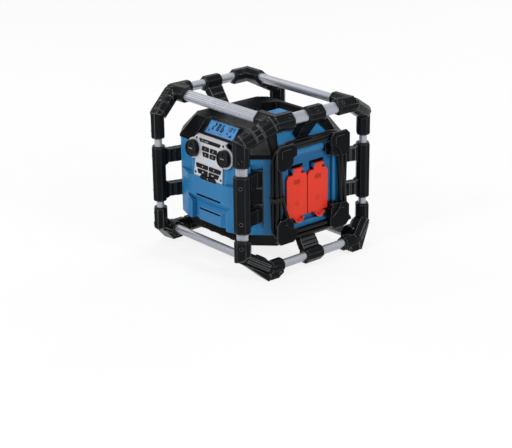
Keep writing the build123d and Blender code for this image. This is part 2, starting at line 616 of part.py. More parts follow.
def housing_shell():
    """Blue shell: an eight-sided ring with windows at the front, right and rear."""
    outer = extrude(Pos(0, 0, SHELL_LOW) * octagon(BODY_X, BODY_Y, BODY_CUT), SHELL_HIGH - SHELL_LOW)
    inner_cut = BODY_CUT - SKIN * 0.586
    inner = extrude(Pos(0, 0, SHELL_LOW) * octagon(BODY_X - SKIN, BODY_Y - SKIN, inner_cut),
                    SHELL_HIGH - SHELL_LOW)
    solid = outer - inner
    for sx, sy in CORNERS.values():
        solid += mirrored(corner_backing() & outer, sx, sy)
        solid -= mirrored(corner_recess(), sx, sy)
    solid -= box(-NOSE_HALF + SKIN, NOSE_HALF - SKIN, -BODY_Y - 1, -BODY_Y + SKIN + 1,
                 SHELL_LOW + 2 * SKIN, SHELL_HIGH + 1)
    solid -= outlet_window()
    solid -= box(-DOOR_HALF - BUTTON_GAP, DOOR_HALF + BUTTON_GAP, BODY_Y - SKIN - 1, BODY_Y + 1,
                 DOOR_LOW - BUTTON_GAP, DOOR_HIGH + BUTTON_GAP)
    solid += battery_shelf() + door_ears()
    return solid - slope_arm_clearance()


def outlet_window():
    """Window of the outlet panel in the shell's right wall."""
    return box(BODY_X - SKIN - 1, BODY_X + 1, -OUTLET_HALF, OUTLET_HALF, OUTLET_LOW, OUTLET_HIGH)


def slope_arm_clearance():
    """Nothing of the shell stands above its upper rim."""
    return Pos(0, 0, SHELL_HIGH + 20) * Box(400, 400, 40)


def battery_shelf():
    """Shelf inside the rear window that carries the battery pack."""
    back = BODY_Y - SKIN - 0.5
    shelf = box(-DOOR_HALF - 10, DOOR_HALF + 10, back - PACK_Y - 12, back + 1, SHELL_LOW + 6, SHELL_LOW + 10)
    for sx in (-1, 1):
        x0, x1 = sorted((sx * (DOOR_HALF + 6), sx * (DOOR_HALF + 10)))
        shelf += box(x0, x1, back - PACK_Y - 12, back + 1, SHELL_LOW + 10, SHELL_LOW + 40)
    return shelf


def door_axis():
    """X and Y of the battery door's pin."""
    return -(DOOR_HALF + DOOR_PIN_BESIDE), BODY_Y + DOOR_PIN_OUT


def door_bands():
    """Heights of the door's two knuckles."""
    tall = 16.0
    inset = 14.0
    return [(DOOR_LOW + inset, DOOR_LOW + inset + tall), (DOOR_HIGH - inset - tall, DOOR_HIGH - inset)]


DOOR_BARREL_R = DOOR_PIN_OUT - SEAT
EAR_TALL = 5.0


def door_ears():
    """Ears of the shell above and below each knuckle of the battery door."""
    x, y = door_axis()
    ears = Part()
    for low, high in door_bands():
        for z0, z1 in ((low - BUTTON_GAP - EAR_TALL, low - BUTTON_GAP), (high + BUTTON_GAP, high + BUTTON_GAP + EAR_TALL)):
            ear = Pos(x, y, z0) * extrude(Circle(DOOR_BARREL_R), z1 - z0)
            ear += box(x - DOOR_BARREL_R, x + 1.5, BODY_Y - 1, y, z0, z1)
            ears += ear - Pos(x, y, z0) * extrude(Circle(PIN_R + RUN), z1 - z0)
    return ears


def battery_door():
    """Door in the shell's rear window, with two knuckles on an upright pin."""
    x, y = door_axis()
    solid = box(-DOOR_HALF, DOOR_HALF, BODY_Y - DOOR_THICK, BODY_Y, DOOR_LOW, DOOR_HIGH)
    for i in range(4):
        z = DOOR_LOW + (i + 1) * (DOOR_HIGH - DOOR_LOW) / 5
        solid += box(-DOOR_HALF + 16, DOOR_HALF - 16, BODY_Y - 1, BODY_Y + 1.5, z - 3, z + 3)
    solid += box(DOOR_HALF - 12, DOOR_HALF - 3, BODY_Y - 1, BODY_Y + 4, FLOOR_TO_MID - 32, FLOOR_TO_MID - 2)
    for low, high in door_bands():
        solid += Pos(x, y, low) * extrude(Circle(DOOR_BARREL_R), high - low)
        solid += box(x, -DOOR_HALF + 5, BODY_Y + SEAT, y + DOOR_BARREL_R, low, high)
        solid += box(-DOOR_HALF + 0.2, -DOOR_HALF + 5, BODY_Y - 1, y, low, high)
        solid -= Pos(x, y, low) * extrude(Circle(PIN_R + RUN), high - low)
    return solid


def base_tray():
    """Black base: an eight-sided tray that draws in towards its ribbed underside."""
    low = octagon(BODY_X - BASE_TAPER, BODY_Y - BASE_TAPER, BASE_CUT)
    high = octagon(BODY_X, BODY_Y, BODY_CUT)
    solid = tapered(low, BASE_LOW, high, SHELL_LOW)
    inner_low = octagon(BODY_X - BASE_TAPER - SKIN, BODY_Y - BASE_TAPER - SKIN, BASE_CUT - 2)
    inner_high = octagon(BODY_X - SKIN, BODY_Y - SKIN, BODY_CUT - 2)
    solid -= tapered(inner_low, BASE_LOW + SKIN, inner_high, SHELL_LOW)
    for i in range(BASE_RIBS):
        x = (i - (BASE_RIBS - 1) / 2) * BASE_RIB_STEP
        solid += box(x - BASE_RIB_THICK / 2, x + BASE_RIB_THICK / 2, -BODY_Y + BASE_TAPER + 3,
                     BODY_Y - BASE_TAPER - 3, BASE_LOW - BASE_RIB_DEEP, BASE_LOW + 1)
    return solid


def cover_octagon(inset=0.0):
    """Flat top of the cover, as a face."""
    middle = (TOP_FRONT + TOP_BACK) / 2
    half_y = (TOP_BACK - TOP_FRONT) / 2
    return Pos(0, middle, 0) * octagon(TOP_X - inset, half_y - inset, TOP_CUT - 0.586 * inset)


def cover_envelope(inset=0.0, down=0.0):
    """Solid of the cover's outside, or of its inside when inset and lowered."""
    half_x, half_y = BODY_X + COVER_LIP - inset, BODY_Y + COVER_LIP - inset
    rim = octagon(half_x, half_y, BODY_CUT + 1 - 0.586 * inset)
    shoulder = SHELL_HIGH + COVER_RIM
    solid = extrude(Pos(0, 0, SHELL_HIGH) * rim, COVER_RIM)
    return solid + tapered(rim, shoulder, cover_octagon(inset), COVER_TOP - down)


def tray_outline(grow=0.0):
    """Outline of the well in the flat top."""
    right = [(TRAY_FRONT_HALF + grow, TRAY_FRONT - grow), (TRAY_MID_HALF + grow, TRAY_MID),
             (TRAY_BACK_HALF + grow, TRAY_BACK + grow)]
    face = make_face(Polyline(*mirror_points(right), close=True))
    return fillet(face.vertices(), 12.0 + grow)


def facet(sx, sy):
    """Plane on a corner facet of the cover, and the facet's height along the slope."""
    half_x, half_y, cut = BODY_X + COVER_LIP, BODY_Y + COVER_LIP, BODY_CUT + 1
    z = SHELL_HIGH + COVER_RIM
    edge = TOP_FRONT if sy < 0 else TOP_BACK
    near = (sx * half_x, sy * (half_y - cut), z)
    far = (sx * (half_x - cut), sy * half_y, z)
    top = (sx * (TOP_X - TOP_CUT / 2), edge - sy * TOP_CUT / 2, COVER_TOP)
    if sx * sy < 0:
        near, far = far, near
    plane = facet_plane(near, far, top)
    return plane, (Vector(*top) - plane.origin).length


GRILLE_EDGE = 5.0
GRILLE_THICK = 2.0
GRILLE_SUNK = 0.6


def grille_outline(height, grow=0.0):
    """Trapezoid of a corner grille in its facet's plane."""
    wide, narrow = (BODY_CUT + 1) * 2 ** 0.5 / 2, TOP_CUT * 2 ** 0.5 / 2
    slope = (wide - narrow) / height
    low, high = GRILLE_EDGE - grow, height - GRILLE_EDGE + grow
    inset = GRILLE_EDGE * 1.1 - grow
    return mirror_points([(wide - slope * low - inset, low), (narrow + slope * (height - high) - inset, high)])


def corner_grilles():
    """Four perforated plates over the corner speakers."""
    plates = Part()
    for sx, sy in CORNERS.values():
        plane, height = facet(sx, sy)
        plates += slab(plane, grille_outline(height), -GRILLE_SUNK, GRILLE_THICK)
    return plates


def corner_speakers():
    """Four small drivers behind the corner grilles."""
    drivers = Part()
    for sx, sy in CORNERS.values():
        plane, height = facet(sx, sy)
        back = -SKIN - 1.0
        rim = Pos(0, height * 0.40, back - 2.5) * extrude(Circle(TWEETER_R), 2.5)
        cone = Pos(0, height * 0.40, back - TWEETER_DEEP) * Cone(TWEETER_R * 0.6, TWEETER_R * 0.9, TWEETER_DEEP - 2.5,
                                                                 align=(Align.CENTER, Align.CENTER, Align.MIN))
        drivers += plane * (rim + cone)
    return drivers


def slope_cut(sx, depth, grow=0.0):
    """Trapezoid block on the left or right slope of the cover, where the blue fascia lies."""
    low_half, high_half = 83.0 + grow, 61.0 + grow
    z = SHELL_HIGH + COVER_RIM
    side = BODY_X + COVER_LIP
    near, far = (sx * side, sx * -10.0, z), (sx * side, sx * 10.0, z)
    plane = facet_plane(near, far, (sx * TOP_X, 0, COVER_TOP))
    height = hypot(side - TOP_X, COVER_TOP - z)
    points = mirror_points([(low_half, -6.5), (low_half, 0.0), (high_half, height - 3.0 + grow)])
    return plane, points, depth


FASCIA_SUNK = 2.5
FASCIA_THICK = 3.0


def slope_fascias():
    """Blue plates on the left and right slopes, with a level step and screw pockets."""
    plates = Part()
    for sx in (-1, 1):
        plane, points, _ = slope_cut(sx, 0)
        plate = slab(plane, points, -FASCIA_SUNK, FASCIA_THICK)
        height = points[2][1]
        plate -= plane * (Pos(0, height - 5.0, -FASCIA_SUNK) * Box(200, 1.4, 1.6))
        plate -= plane * (Pos(0, height - 21.0, -FASCIA_SUNK) * Box(200, 1.0, 1.0))
        for point, outward in slope_screws(sx):
            plate -= screw_at(point, outward)[1]
        clamp_plane = slope_clamp_plane(sx)
        plates += plate & (clamp_plane * (Pos(0, 0, -30) * Box(400, 400, 60)))
    above = Pos(0, 0, SHELL_HIGH + 60 + SEAT) * Box(500, 500, 120)
    return plates & above


def slope_clamp_plane(sx):
    """Plane that a top clamp's foot lies on."""
    x, z, angle = slope_point(40.0)
    return Plane(origin=(sx * x, 0, z), x_dir=(0, 1, 0), z_dir=(sx * sin(angle), 0, cos(angle)))


def slope_screws(sx):
    """Two screws in a slope fascia."""
    plane, points, _ = slope_cut(sx, 0)
    height = points[2][1]
    spots = [plane * Pos(u, height * 0.40, -FASCIA_SUNK) for u in (-40.0, 40.0)]
    return [(tuple(spot.position), tuple(plane.z_dir)) for spot in spots]


def top_cover():
    """Black cover with four speaker corners, a well in its flat top and a cut-out for the display."""
    solid = cover_envelope() - cover_envelope(SKIN, SKIN)
    well_low = COVER_TOP - TRAY_DEEP
    solid += extrude(Pos(0, 0, well_low) * tray_outline(TRAY_WALL), TRAY_DEEP - 1)
    solid -= extrude(Pos(0, 0, well_low + TRAY_WALL) * tray_outline(), TRAY_DEEP + 5)
    for sx in (-1, 1):
        plane, points, _ = slope_cut(sx, 0, SEAT)
        solid -= slab(plane, points, 12.0, 12.0 + FASCIA_SUNK + FASCIA_THICK + SEAT)
    for sx, sy in CORNERS.values():
        plane, height = facet(sx, sy)
        solid -= slab(plane, grille_outline(height, SEAT), 4.0, 4.0 + GRILLE_SUNK + GRILLE_THICK + SEAT)
        solid -= plane * (Pos(0, height * 0.40, -12) * extrude(Circle(TWEETER_R - 4), 14))
    return solid - display_window()


def display_window():
    """Cut-out of the cover for the display bezel and the head of the front fascia."""
    half = BEZEL_HALF + SEAT
    return box(-half, half, -BODY_Y - 20, -88.0, SHELL_HIGH - 1, COVER_TOP + 10)


def utility_block():
    """Blue block with sloping flanks on the floor of the well."""
    low_z = COVER_TOP - TRAY_DEEP + TRAY_WALL
    low, high = Pos(0, 56) * Rectangle(66, 56), Pos(0, 58) * Rectangle(42, 34)
    solid = extrude(Pos(0, 0, low_z) * low, 15.0)
    return solid + tapered(low, low_z + 15.0, high, low_z + 27.0)


# ---- front fascia and control panel -------------------------------------------------------------
PANEL_LEAN = degrees(atan2(PANEL_HEAD_Y - PANEL_FOOT_Y, PANEL_HEAD_Z - PANEL_FOOT_Z))


def panel_plane():
    """Leaning outer plane of the control panel; local X level, local Y up."""
    lean = radians(PANEL_LEAN)
    return Plane(origin=(0, PANEL_FOOT_Y, PANEL_FOOT_Z), x_dir=(1, 0, 0), z_dir=(0, -cos(lean), sin(lean)))


def front_fascia():
    """Blue front moulding: leaning platform above, flat nose with ports and a hooded recess below."""
    lower = [(BODY_X - BODY_CUT, -BODY_Y), (NOSE_HALF, FRONT_Y)]
    solid = prism(mirror_points(lower), FASCIA_LOW, LEDGE_Z)
    upper = [(BODY_X - BODY_CUT, -BODY_Y), (NOSE_HALF, VALLEY_Y), (PLATFORM_HALF, PLATFORM_EDGE_Y - 4)]
    solid += prism(mirror_points(upper), LEDGE_Z, SHELL_HIGH)
    head = [(PLATFORM_HALF + 4, -BODY_Y), (PLATFORM_HALF + 1, PLATFORM_EDGE_Y)]
    solid += prism(mirror_points(head), SHELL_HIGH - 1, HEAD_TOP)
    plane = panel_plane()
    clear_y = -BODY_Y - COVER_LIP - SEAT
    for sx in (-1, 1):
        boss = Pos(sx * KNOB_X, KNOB_V, -PANEL_THICK - 30) * extrude(Circle(LOBE_R - 1), 30)
        boss = plane * boss
        solid += boss & (box(-200, 200, -200, -BODY_Y, SHELL_LOW, SHELL_HIGH)
                         + box(-200, 200, -200, clear_y, SHELL_LOW, COVER_TOP))
    keep = plane * (Pos(0, 0, -PANEL_THICK - 100) * Box(600, 600, 200))
    solid &= keep + box(-200, 200, -200, 0, 0, LEDGE_Z)
    solid -= fascia_hollow()
    solid -= hood_recess()
    solid += hood()
    for half, z, tall in ((PORT_HALF, PORT_Z, PORT_TALL), (HOOD_PORT_HALF, HOOD_PORT_Z, HOOD_PORT_TALL)):
        solid -= box(-half, half, FRONT_Y - 1, FRONT_Y + PORT_DEEP, z - tall / 2, z + tall / 2)
    for z in (FLOOR_TO_MID - 6.0, FLOOR_TO_MID + 13.0 - 0.6):
        for sx in (-1, 1):
            x0, x1 = sorted((sx * 46.0, sx * (NOSE_HALF + 1)))
            solid -= box(x0, x1, FRONT_Y - 1, FRONT_Y + 0.8, z - 0.5, z + 0.5)
    for point, outward in panel_screws():
        solid -= screw_at(point, outward)[1]
    return solid


def fascia_hollow():
    """Space behind the control panel and behind the nose."""
    plane = panel_plane()
    half = PANEL_FOOT_HALF - 4.0
    space = slab(plane, mirror_points([(half, PANEL_LOW + 2), (half, PANEL_HIGH - 1.5)]), 5.0, 40.0)
    space += tone_pocket()
    space += plane * (Pos(0, KNOB_V, -19) * Box(2 * KNOB_X, 10.0, 42))
    for sx in (-1, 1):
        space += plane * (Pos(sx * KNOB_X, KNOB_V, -40) * extrude(Circle(9.5), 45))
    nose = box(-NOSE_HALF + 2 * SKIN, NOSE_HALF - 2 * SKIN, FRONT_Y + SKIN, -BODY_Y + 5,
               RECESS_TOP_Z + 8.0, LEDGE_Z - SKIN)
    return space + nose


def tone_pocket():
    """Pocket of the lowest button, across the ledge under the panel."""
    return panel_plane() * (Pos(0, 0, -12) * extrude(rounded(button_outlines()["tone_button"], 1.6, 1.0), 20))


def hood_recess():
    """Funnel-shaped recess in the lower front, with a sloping ceiling."""
    outline = mirror_points([(RECESS_LOW_HALF, FASCIA_LOW - 1), (RECESS_LOW_HALF - 2, RECESS_CORNER_Z),
                             (RECESS_TOP_HALF, RECESS_TOP_Z)])
    front = Plane(origin=(0, FRONT_Y - 1, 0), x_dir=(1, 0, 0), z_dir=(0, -1, 0))
    deep = RECESS_Y - FRONT_Y + 1
    cut = slab(front, outline, 0, deep)
    side = [(FRONT_Y - 1, FASCIA_LOW - 2), (RECESS_Y, FASCIA_LOW - 2), (RECESS_Y, RECESS_TOP_Z - 17.0),
            (FRONT_Y - 1, RECESS_TOP_Z)]
    plane = Plane(origin=(-RECESS_TOP_HALF - 1, 0, 0), x_dir=(0, 1, 0), z_dir=(1, 0, 0))
    return cut & slab(plane, side, 2 * RECESS_TOP_HALF + 2, 2 * RECESS_TOP_HALF + 2)


def hood():
    """Hood over the lower bass port: a block that narrows towards the front."""
    foot_face = mirror_points([(54.0, HOOD_LOW), (48.5, HOOD_HIGH)])
    front_face = mirror_points([(36.5, HOOD_LOW + 1.5), (39.0, HOOD_HIGH - 4.0)])
    plane = Plane(origin=(0, RECESS_Y + 1, 0), x_dir=(1, 0, 0), z_dir=(0, -1, 0))
    low = make_face(Polyline(*foot_face, close=True))
    high = make_face(Polyline(*front_face, close=True))
    return plane * loft([low, Pos(0, 0, RECESS_Y + 1 - HOOD_Y) * high], ruled=True)


def panel_outline():
    """Outline of the control panel on its plane."""
    right = [(30.0, PANEL_LOW), (PANEL_FOOT_HALF, PANEL_LOW), (PANEL_NECK_HALF, KNOB_V - LOBE_R + 2),
             (PANEL_TOP_HALF, KNOB_V), (PANEL_TOP_HALF, PANEL_HIGH - 6), (PANEL_TOP_HALF - 5, PANEL_HIGH)]
    notch = [(22.5, PANEL_LOW + 6.0)]
    face = make_face(Polyline(*mirror_points(notch + right), close=True))
    for sx in (-1, 1):
        face += Pos(sx * KNOB_X, KNOB_V) * Circle(LOBE_R)
    return face


def button_outlines():
    """Right-hand and middle buttons on the panel's plane: name to outline."""
    outlines = {"power_button": mirror_points([(32.0, 84.5), (38.5, 92.0)])}
    row = {"preset_button": [(2.2, 25.5, 66.0, 76.0), (2.2, 24.0, 53.0, 63.0)],
           "mode_button": [(2.2, 44.0, 25.0, 34.5), (2.2, 38.0, 12.3, 21.8)]}
    slants = {"preset_button": (0.0, -4.0), "mode_button": (-3.0, -4.5)}
    for kind, rows in row.items():
        count = 0
        for (x0, x1, y0, y1), slant in zip(rows, slants[kind]):
            right = [(x0, y0), (x1 + slant, y0), (x1, y1), (x0, y1)]
            for sx in (-1, 1):
                count += 1
                outlines[f"{kind}_{count}"] = [(sx * x, y) for x, y in right]
    outlines["tone_button"] = mirror_points([(29.0, PANEL_LOW - 4.2), (21.5, PANEL_LOW + 4.4)])
    return outlines


def rounded(points, radius, grow=0.0):
    """Face over points with rounded corners, grown by a margin."""
    face = make_face(Polyline(*points, close=True))
    if grow:
        face = offset(face, grow, kind=Kind.INTERSECTION)
    return fillet(face.vertices(), radius + grow)


def button(points):
    """Button cap through the panel, with a retaining flange behind it."""
    cap = Pos(0, 0, -PANEL_THICK - 1.0) * extrude(rounded(points, 1.6), PANEL_THICK + 1.0 + BUTTON_PROUD)
    cap = chamfer(cap.faces().sort_by(Axis.Z)[-1].edges(), 0.5)
    flange = Pos(0, 0, -PANEL_THICK - BUTTON_TRAVEL - 0.4 - 1.4)
    flange = flange * extrude(rounded(points, 1.6, 0.5), 1.4 + BUTTON_TRAVEL)
    return panel_plane() * (cap + flange)


def control_panel():
    """Silver panel with openings for the buttons and knob shafts; its head bends back."""
    plane = panel_plane()
    solid = Pos(0, 0, -PANEL_THICK) * extrude(panel_outline(), PANEL_THICK)
    for name, points in button_outlines().items():
        solid -= Pos(0, 0, -PANEL_THICK - 1) * extrude(rounded(points, 1.6, BUTTON_GAP), PANEL_THICK + 2)
    for sx in (-1, 1):
        solid -= Pos(sx * KNOB_X, KNOB_V, -PANEL_THICK - 1) * extrude(Circle(SHAFT_R + BUTTON_GAP), PANEL_THICK + 2)
    solid = plane * solid
    top_edge = plane * Pos(0, PANEL_HIGH, 0)
    y0, z0 = top_edge.position.Y, top_edge.position.Z
    half = PANEL_TOP_HALF - 5
    side = [(y0, z0), (y0 + PANEL_FLANGE, z0 + 2.6), (y0 + PANEL_FLANGE, z0 + 0.6), (y0 + PANEL_THICK, z0 - 2.0),
            (y0 + 0.2, z0 - 2.0)]
    cross = Plane(origin=(-half, 0, 0), x_dir=(0, 1, 0), z_dir=(1, 0, 0))
    solid += slab(cross, side, 2 * half, 2 * half)
    for point, outward in panel_screws():
        solid -= screw_at(point, outward, 1.8)[1]
    return solid


def panel_screws():
    """Four screws at the corners of the control panel."""
    plane = panel_plane()
    spots = [(-46.0, 90.5), (46.0, 90.5), (-44.0, 13.0), (44.0, 13.0)]
    return [(tuple((plane * Pos(u, v, 0)).position), tuple(plane.z_dir)) for u, v in spots]


def board_depth():
    """How far the switch board's face lies behind the panel's outer plane."""
    return PANEL_THICK + BUTTON_TRAVEL + 0.4 + 1.4 + BUTTON_TRAVEL + SEAT


def switch_board():
    """Circuit board behind the buttons, with an encoder under each knob."""
    half = PANEL_FOOT_HALF - 4.0 - SEAT
    points = mirror_points([(half, PANEL_LOW + 2 + SEAT), (half, PANEL_HIGH - 3 - SEAT)])
    face = make_face(Polyline(*points, close=True))
    out = -board_depth()
    solid = Pos(0, 0, out - BOARD_THICK) * extrude(face, BOARD_THICK)
    solid += Pos(0, KNOB_V, out - BOARD_THICK / 2) * Box(2 * KNOB_X, 9.0, BOARD_THICK)
    for sx in (-1, 1):
        solid += Pos(sx * KNOB_X, KNOB_V, out - BOARD_THICK) * extrude(Circle(9.0), BOARD_THICK)
    for sx in (-1, 1):
        solid += Pos(sx * KNOB_X, KNOB_V, out) * extrude(Circle(8.0), 2.0)
        solid -= Pos(sx * KNOB_X, KNOB_V, out - BOARD_THICK - 1) * extrude(Circle(SHAFT_R + RUN), 12.0)
    return panel_plane() * solid


def knob(sx):
    """Control knob with a finger dimple, on its shaft."""
    cap = Pos(0, 0, KNOB_LIFT) * extrude(Circle(KNOB_R), KNOB_HIGH)
    cap = chamfer(cap.faces().sort_by(Axis.Z)[-1].edges(), 1.6)
    cap -= Pos(0, 0, KNOB_LIFT + KNOB_HIGH - 1.2) * extrude(Circle(KNOB_R - 4.0), 2.0)
    for i in range(24):
        cap -= Rot(0, 0, 15 * i) * (Pos(KNOB_R + 0.5, 0, KNOB_LIFT + 2.0) * extrude(Circle(1.3), KNOB_HIGH))
    pointer = Pos(0, KNOB_R - 8.0, KNOB_LIFT + KNOB_HIGH - 1.2) * Box(1.8, 7.0, 1.6, align=(Align.CENTER,) * 2 + (Align.MIN,))
    shaft = Pos(0, 0, KNOB_LIFT + 1.0 - SHAFT_LONG) * extrude(Circle(SHAFT_R), SHAFT_LONG)
    return panel_plane() * (Pos(sx * KNOB_X, KNOB_V, 0) * (cap + pointer + shaft))


# ---- display ------------------------------------------------------------------------------------
def display_plane():
    """Outer plane of the display; local X level, local Y up the slope."""
    tilt = radians(DISPLAY_TILT)
    return Plane(origin=(0, DISPLAY_Y, DISPLAY_Z), x_dir=(1, 0, 0), z_dir=(0, -sin(tilt), cos(tilt)))


def display_bezel():
    """Black surround of the display: a sloping plate, a ledge below it and a shelf above it."""
    half = BEZEL_HALF
    tilt = radians(DISPLAY_TILT)
    ledge_z = SHELL_HIGH + 20.8
    low = (DISPLAY_Z - ledge_z) / sin(tilt)
    y_low, y_high = DISPLAY_Y - low * cos(tilt), DISPLAY_Y + (COVER_TOP - 0.5 - DISPLAY_Z) / tan(tilt)
    ledge_y = PANEL_HEAD_Y + PANEL_FLANGE + 1.2
    back_y = -88.0 - SEAT
    thick = BEZEL_THICK
    side = [(ledge_y, ledge_z - 0.6), (y_low, ledge_z), (y_high, COVER_TOP - 0.5), (back_y, COVER_TOP - 0.5),
            (back_y, COVER_TOP - 0.5 - thick), (y_high + 2, COVER_TOP - 0.5 - thick), (y_low + 3, ledge_z - thick),
            (ledge_y, ledge_z - thick)]
    cross = Plane(origin=(-half, 0, 0), x_dir=(0, 1, 0), z_dir=(1, 0, 0))
    solid = slab(cross, side, 2 * half, 2 * half)
    for sx in (-1, 1):
        x0, x1 = sorted((sx * (half - 3.0), sx * half))
        solid += box(x0, x1, -BODY_Y + 1, back_y, SHELL_HIGH + SEAT, COVER_TOP - 3) & cheek_side()
    pocket_l, pocket_t = LCD_LONG / 2 + SEAT, LCD_TALL / 2 + SEAT
    plane = display_plane()
    solid -= slab(plane, mirror_points([(pocket_l, -pocket_t), (pocket_l, pocket_t)]), 5.0, 25.0)
    for x0, x1, y0, y1 in ((-16, 10, -86.0 - 12, -86.0 - 8),):
        solid -= box(x0, x1, y0, y1, COVER_TOP - 2.0, COVER_TOP + 1)
    return solid


def cheek_side():
    """Region under the display's slope, for the bezel's side walls."""
    tilt = radians(DISPLAY_TILT)
    top = (DISPLAY_Z - SHELL_HIGH) / sin(tilt)
    y_low = DISPLAY_Y - top * cos(tilt)
    side = [(y_low + 2, SHELL_HIGH), (-80, SHELL_HIGH), (-80, COVER_TOP - 2), (-104, COVER_TOP - 2)]
    cross = Plane(origin=(-100, 0, 0), x_dir=(0, 1, 0), z_dir=(1, 0, 0))
    return slab(cross, side, 200, 200)


def lcd_module():
    """Display glass and backlight under the lens."""
    half_l, half_t = LCD_LONG / 2, LCD_TALL / 2
    return slab(display_plane(), mirror_points([(half_l, -half_t), (half_l, half_t)]), -LENS_THICK - 0.3, LCD_THICK)


def display_lens():
    """Clear window over the display."""
    half_l, half_t = LCD_LONG / 2, LCD_TALL / 2
    return slab(display_plane(), mirror_points([(half_l, -half_t), (half_l, half_t)]), -0.3, LENS_THICK)


# ---- outlets ------------------------------------------------------------------------------------
def flap_centre(sy):
    """Middle of a flap along Y."""
    return sy * (FLAP_WIDE + FLAP_GAP) / 2


def outlet_panel():
    """Blue panel in the shell's right window, with hinge ears and socket openings."""
    x1 = OUTLET_FACE_X
    half = OUTLET_HALF - SEAT
    low, high = OUTLET_LOW + SEAT, OUTLET_HIGH - SEAT
    solid = box(x1 - OUTLET_THICK, x1, -half, half, low, high)
    for y0, y1, z0, z1 in ((-half, -half + 3, low, high), (half - 3, half, low, high),
                           (-half, half, low, low + 3), (-half, half, high - 3, high)):
        solid += box(x1 - OUTLET_THICK, BODY_X, y0, y1, z0, z1)
    for sy in (-1, 1):
        y = flap_centre(sy)
        for side in (-1, 1):
            edge = y + side * (KNUCKLE_LONG / 2 + BUTTON_GAP)
            solid += ear(edge, edge + side * EAR_THICK)
        solid -= Pos(x1 - OUTLET_THICK, y, socket_height()) * (Rot(0, 90, 0) * extrude(Circle(SOCKET_R + SEAT), 10))
    for y, z in ((OUTLET_HALF - 6.5, FLOOR_TO_MID + 34), (OUTLET_HALF - 6.5, FLOOR_TO_MID - 12)):
        solid -= box(x1 - 1.0, BODY_X + 1, y - 1.5, y + 1.5, z - 8, z + 8)
    return solid


def socket_height():
    """Height of the middle of a socket."""
    return (FLAP_LOW + FLAP_HIGH) / 2


def ear(y0, y1):
    """Hinge ear on the outlet panel."""
    low, high = sorted((y0, y1))
    solid = Pos(HINGE_X, low, HINGE_Z) * (Rot(-90, 0, 0) * extrude(Circle(KNUCKLE_R), high - low))
    solid += box(OUTLET_FACE_X - 1, HINGE_X, low, high, HINGE_Z - KNUCKLE_R, HINGE_Z + KNUCKLE_R)
    return solid - Pos(HINGE_X, low, HINGE_Z) * (Rot(-90, 0, 0) * extrude(Circle(PIN_R + RUN), high - low))


def outlet_flap(sy):
    """Red flip cover: shouldered plate, knuckle on the pin, round finger tab."""
    y = flap_centre(sy)
    half = FLAP_WIDE / 2
    shoulder = FLAP_SHOULDER
    right = [(half, FLAP_LOW), (half, FLAP_HIGH - shoulder), (half - 5, FLAP_HIGH),
             (KNUCKLE_LONG / 2, FLAP_HIGH), (KNUCKLE_LONG / 2, HINGE_Z)]
    face = Plane(origin=(FLAP_INNER_X, y, 0), x_dir=(0, 1, 0), z_dir=(1, 0, 0))
    plate = face * extrude(make_face(Polyline(*mirror_points(right), close=True)), FLAP_THICK)
    plate = plate - box(FLAP_INNER_X - 1, HINGE_X, y - half, y + half, HINGE_Z - KNUCKLE_R - 2, HINGE_Z + 9)
    plate += box(FLAP_INNER_X + 2.6, HINGE_X, y - KNUCKLE_LONG / 2, y + KNUCKLE_LONG / 2,
                 HINGE_Z - KNUCKLE_R - 3, HINGE_Z)
    barrel = Pos(HINGE_X, y - KNUCKLE_LONG / 2, HINGE_Z) * (Rot(-90, 0, 0) * extrude(Circle(KNUCKLE_R), KNUCKLE_LONG))
    plate += barrel
    plate += flap_tab(y)
    pin = Pos(HINGE_X, y - KNUCKLE_LONG / 2, HINGE_Z)
    plate -= pin * (Rot(-90, 0, 0) * extrude(Circle(PIN_R + RUN), KNUCKLE_LONG))
    outer = FLAP_INNER_X + FLAP_THICK
    plate -= box(outer - 1.2, outer + 1, y - 9, y + 9, FLAP_HIGH - 22, FLAP_HIGH - 12)
    return plate


def flap_tab(y):
    """Round lug at the lower edge of a flap, for a finger."""
    x0 = FLAP_INNER_X
    disc = Pos(x0, y, FLAP_LOW + 2) * (Rot(0, 90, 0) * extrude(Circle(TAB_R), FLAP_THICK))
    disc &= box(x0, x0 + FLAP_THICK, y - TAB_R, y + TAB_R, FLAP_LOW - TAB_R, FLAP_LOW + 2)
    lip = Pos(x0 + FLAP_THICK - 0.5, y, FLAP_LOW + 2) * (Rot(0, 90, 0) * extrude(Circle(TAB_R), TAB_PROUD))
    lip -= Pos(x0 + FLAP_THICK - 1, y, FLAP_LOW + 2) * (Rot(0, 90, 0) * extrude(Circle(TAB_R - 2.6), TAB_PROUD + 2))
    lip &= box(x0, x0 + 30, y - TAB_R, y + TAB_R, FLAP_LOW - TAB_R, FLAP_LOW - 1)
    return disc + lip


def hinge_pins():
    """Two flap pins and the battery door's pin."""
    pins = Part()
    for sy in (-1, 1):
        half = KNUCKLE_LONG / 2 + BUTTON_GAP + EAR_THICK
        pins += Pos(HINGE_X, flap_centre(sy) - half, HINGE_Z) * (Rot(-90, 0, 0) * extrude(Circle(PIN_R), 2 * half))
    x, y = door_axis()
    low = door_bands()[0][0] - BUTTON_GAP - EAR_TALL
    high = door_bands()[1][1] + BUTTON_GAP + EAR_TALL
    return pins + Pos(x, y, low) * extrude(Circle(PIN_R), high - low)


def outlet_sockets():
    """Two mains sockets behind the flaps, with slots for a plug's blades."""
    sockets = Part()
    for sy in (-1, 1):
        body = Rot(0, 90, 0) * extrude(Circle(SOCKET_R), 24.0)
        for dy in (-6.3, 6.3):
            body -= Pos(24.0 - 10, dy, 4.0) * Box(21, 2.0, 8.0)
        body -= Pos(14.0, 0, -8.0) * (Rot(0, 90, 0) * extrude(Circle(2.6), 11))
        sockets += Pos(OUTLET_FACE_X - 24.0 - 0.5, flap_centre(sy), socket_height()) * body
    return sockets


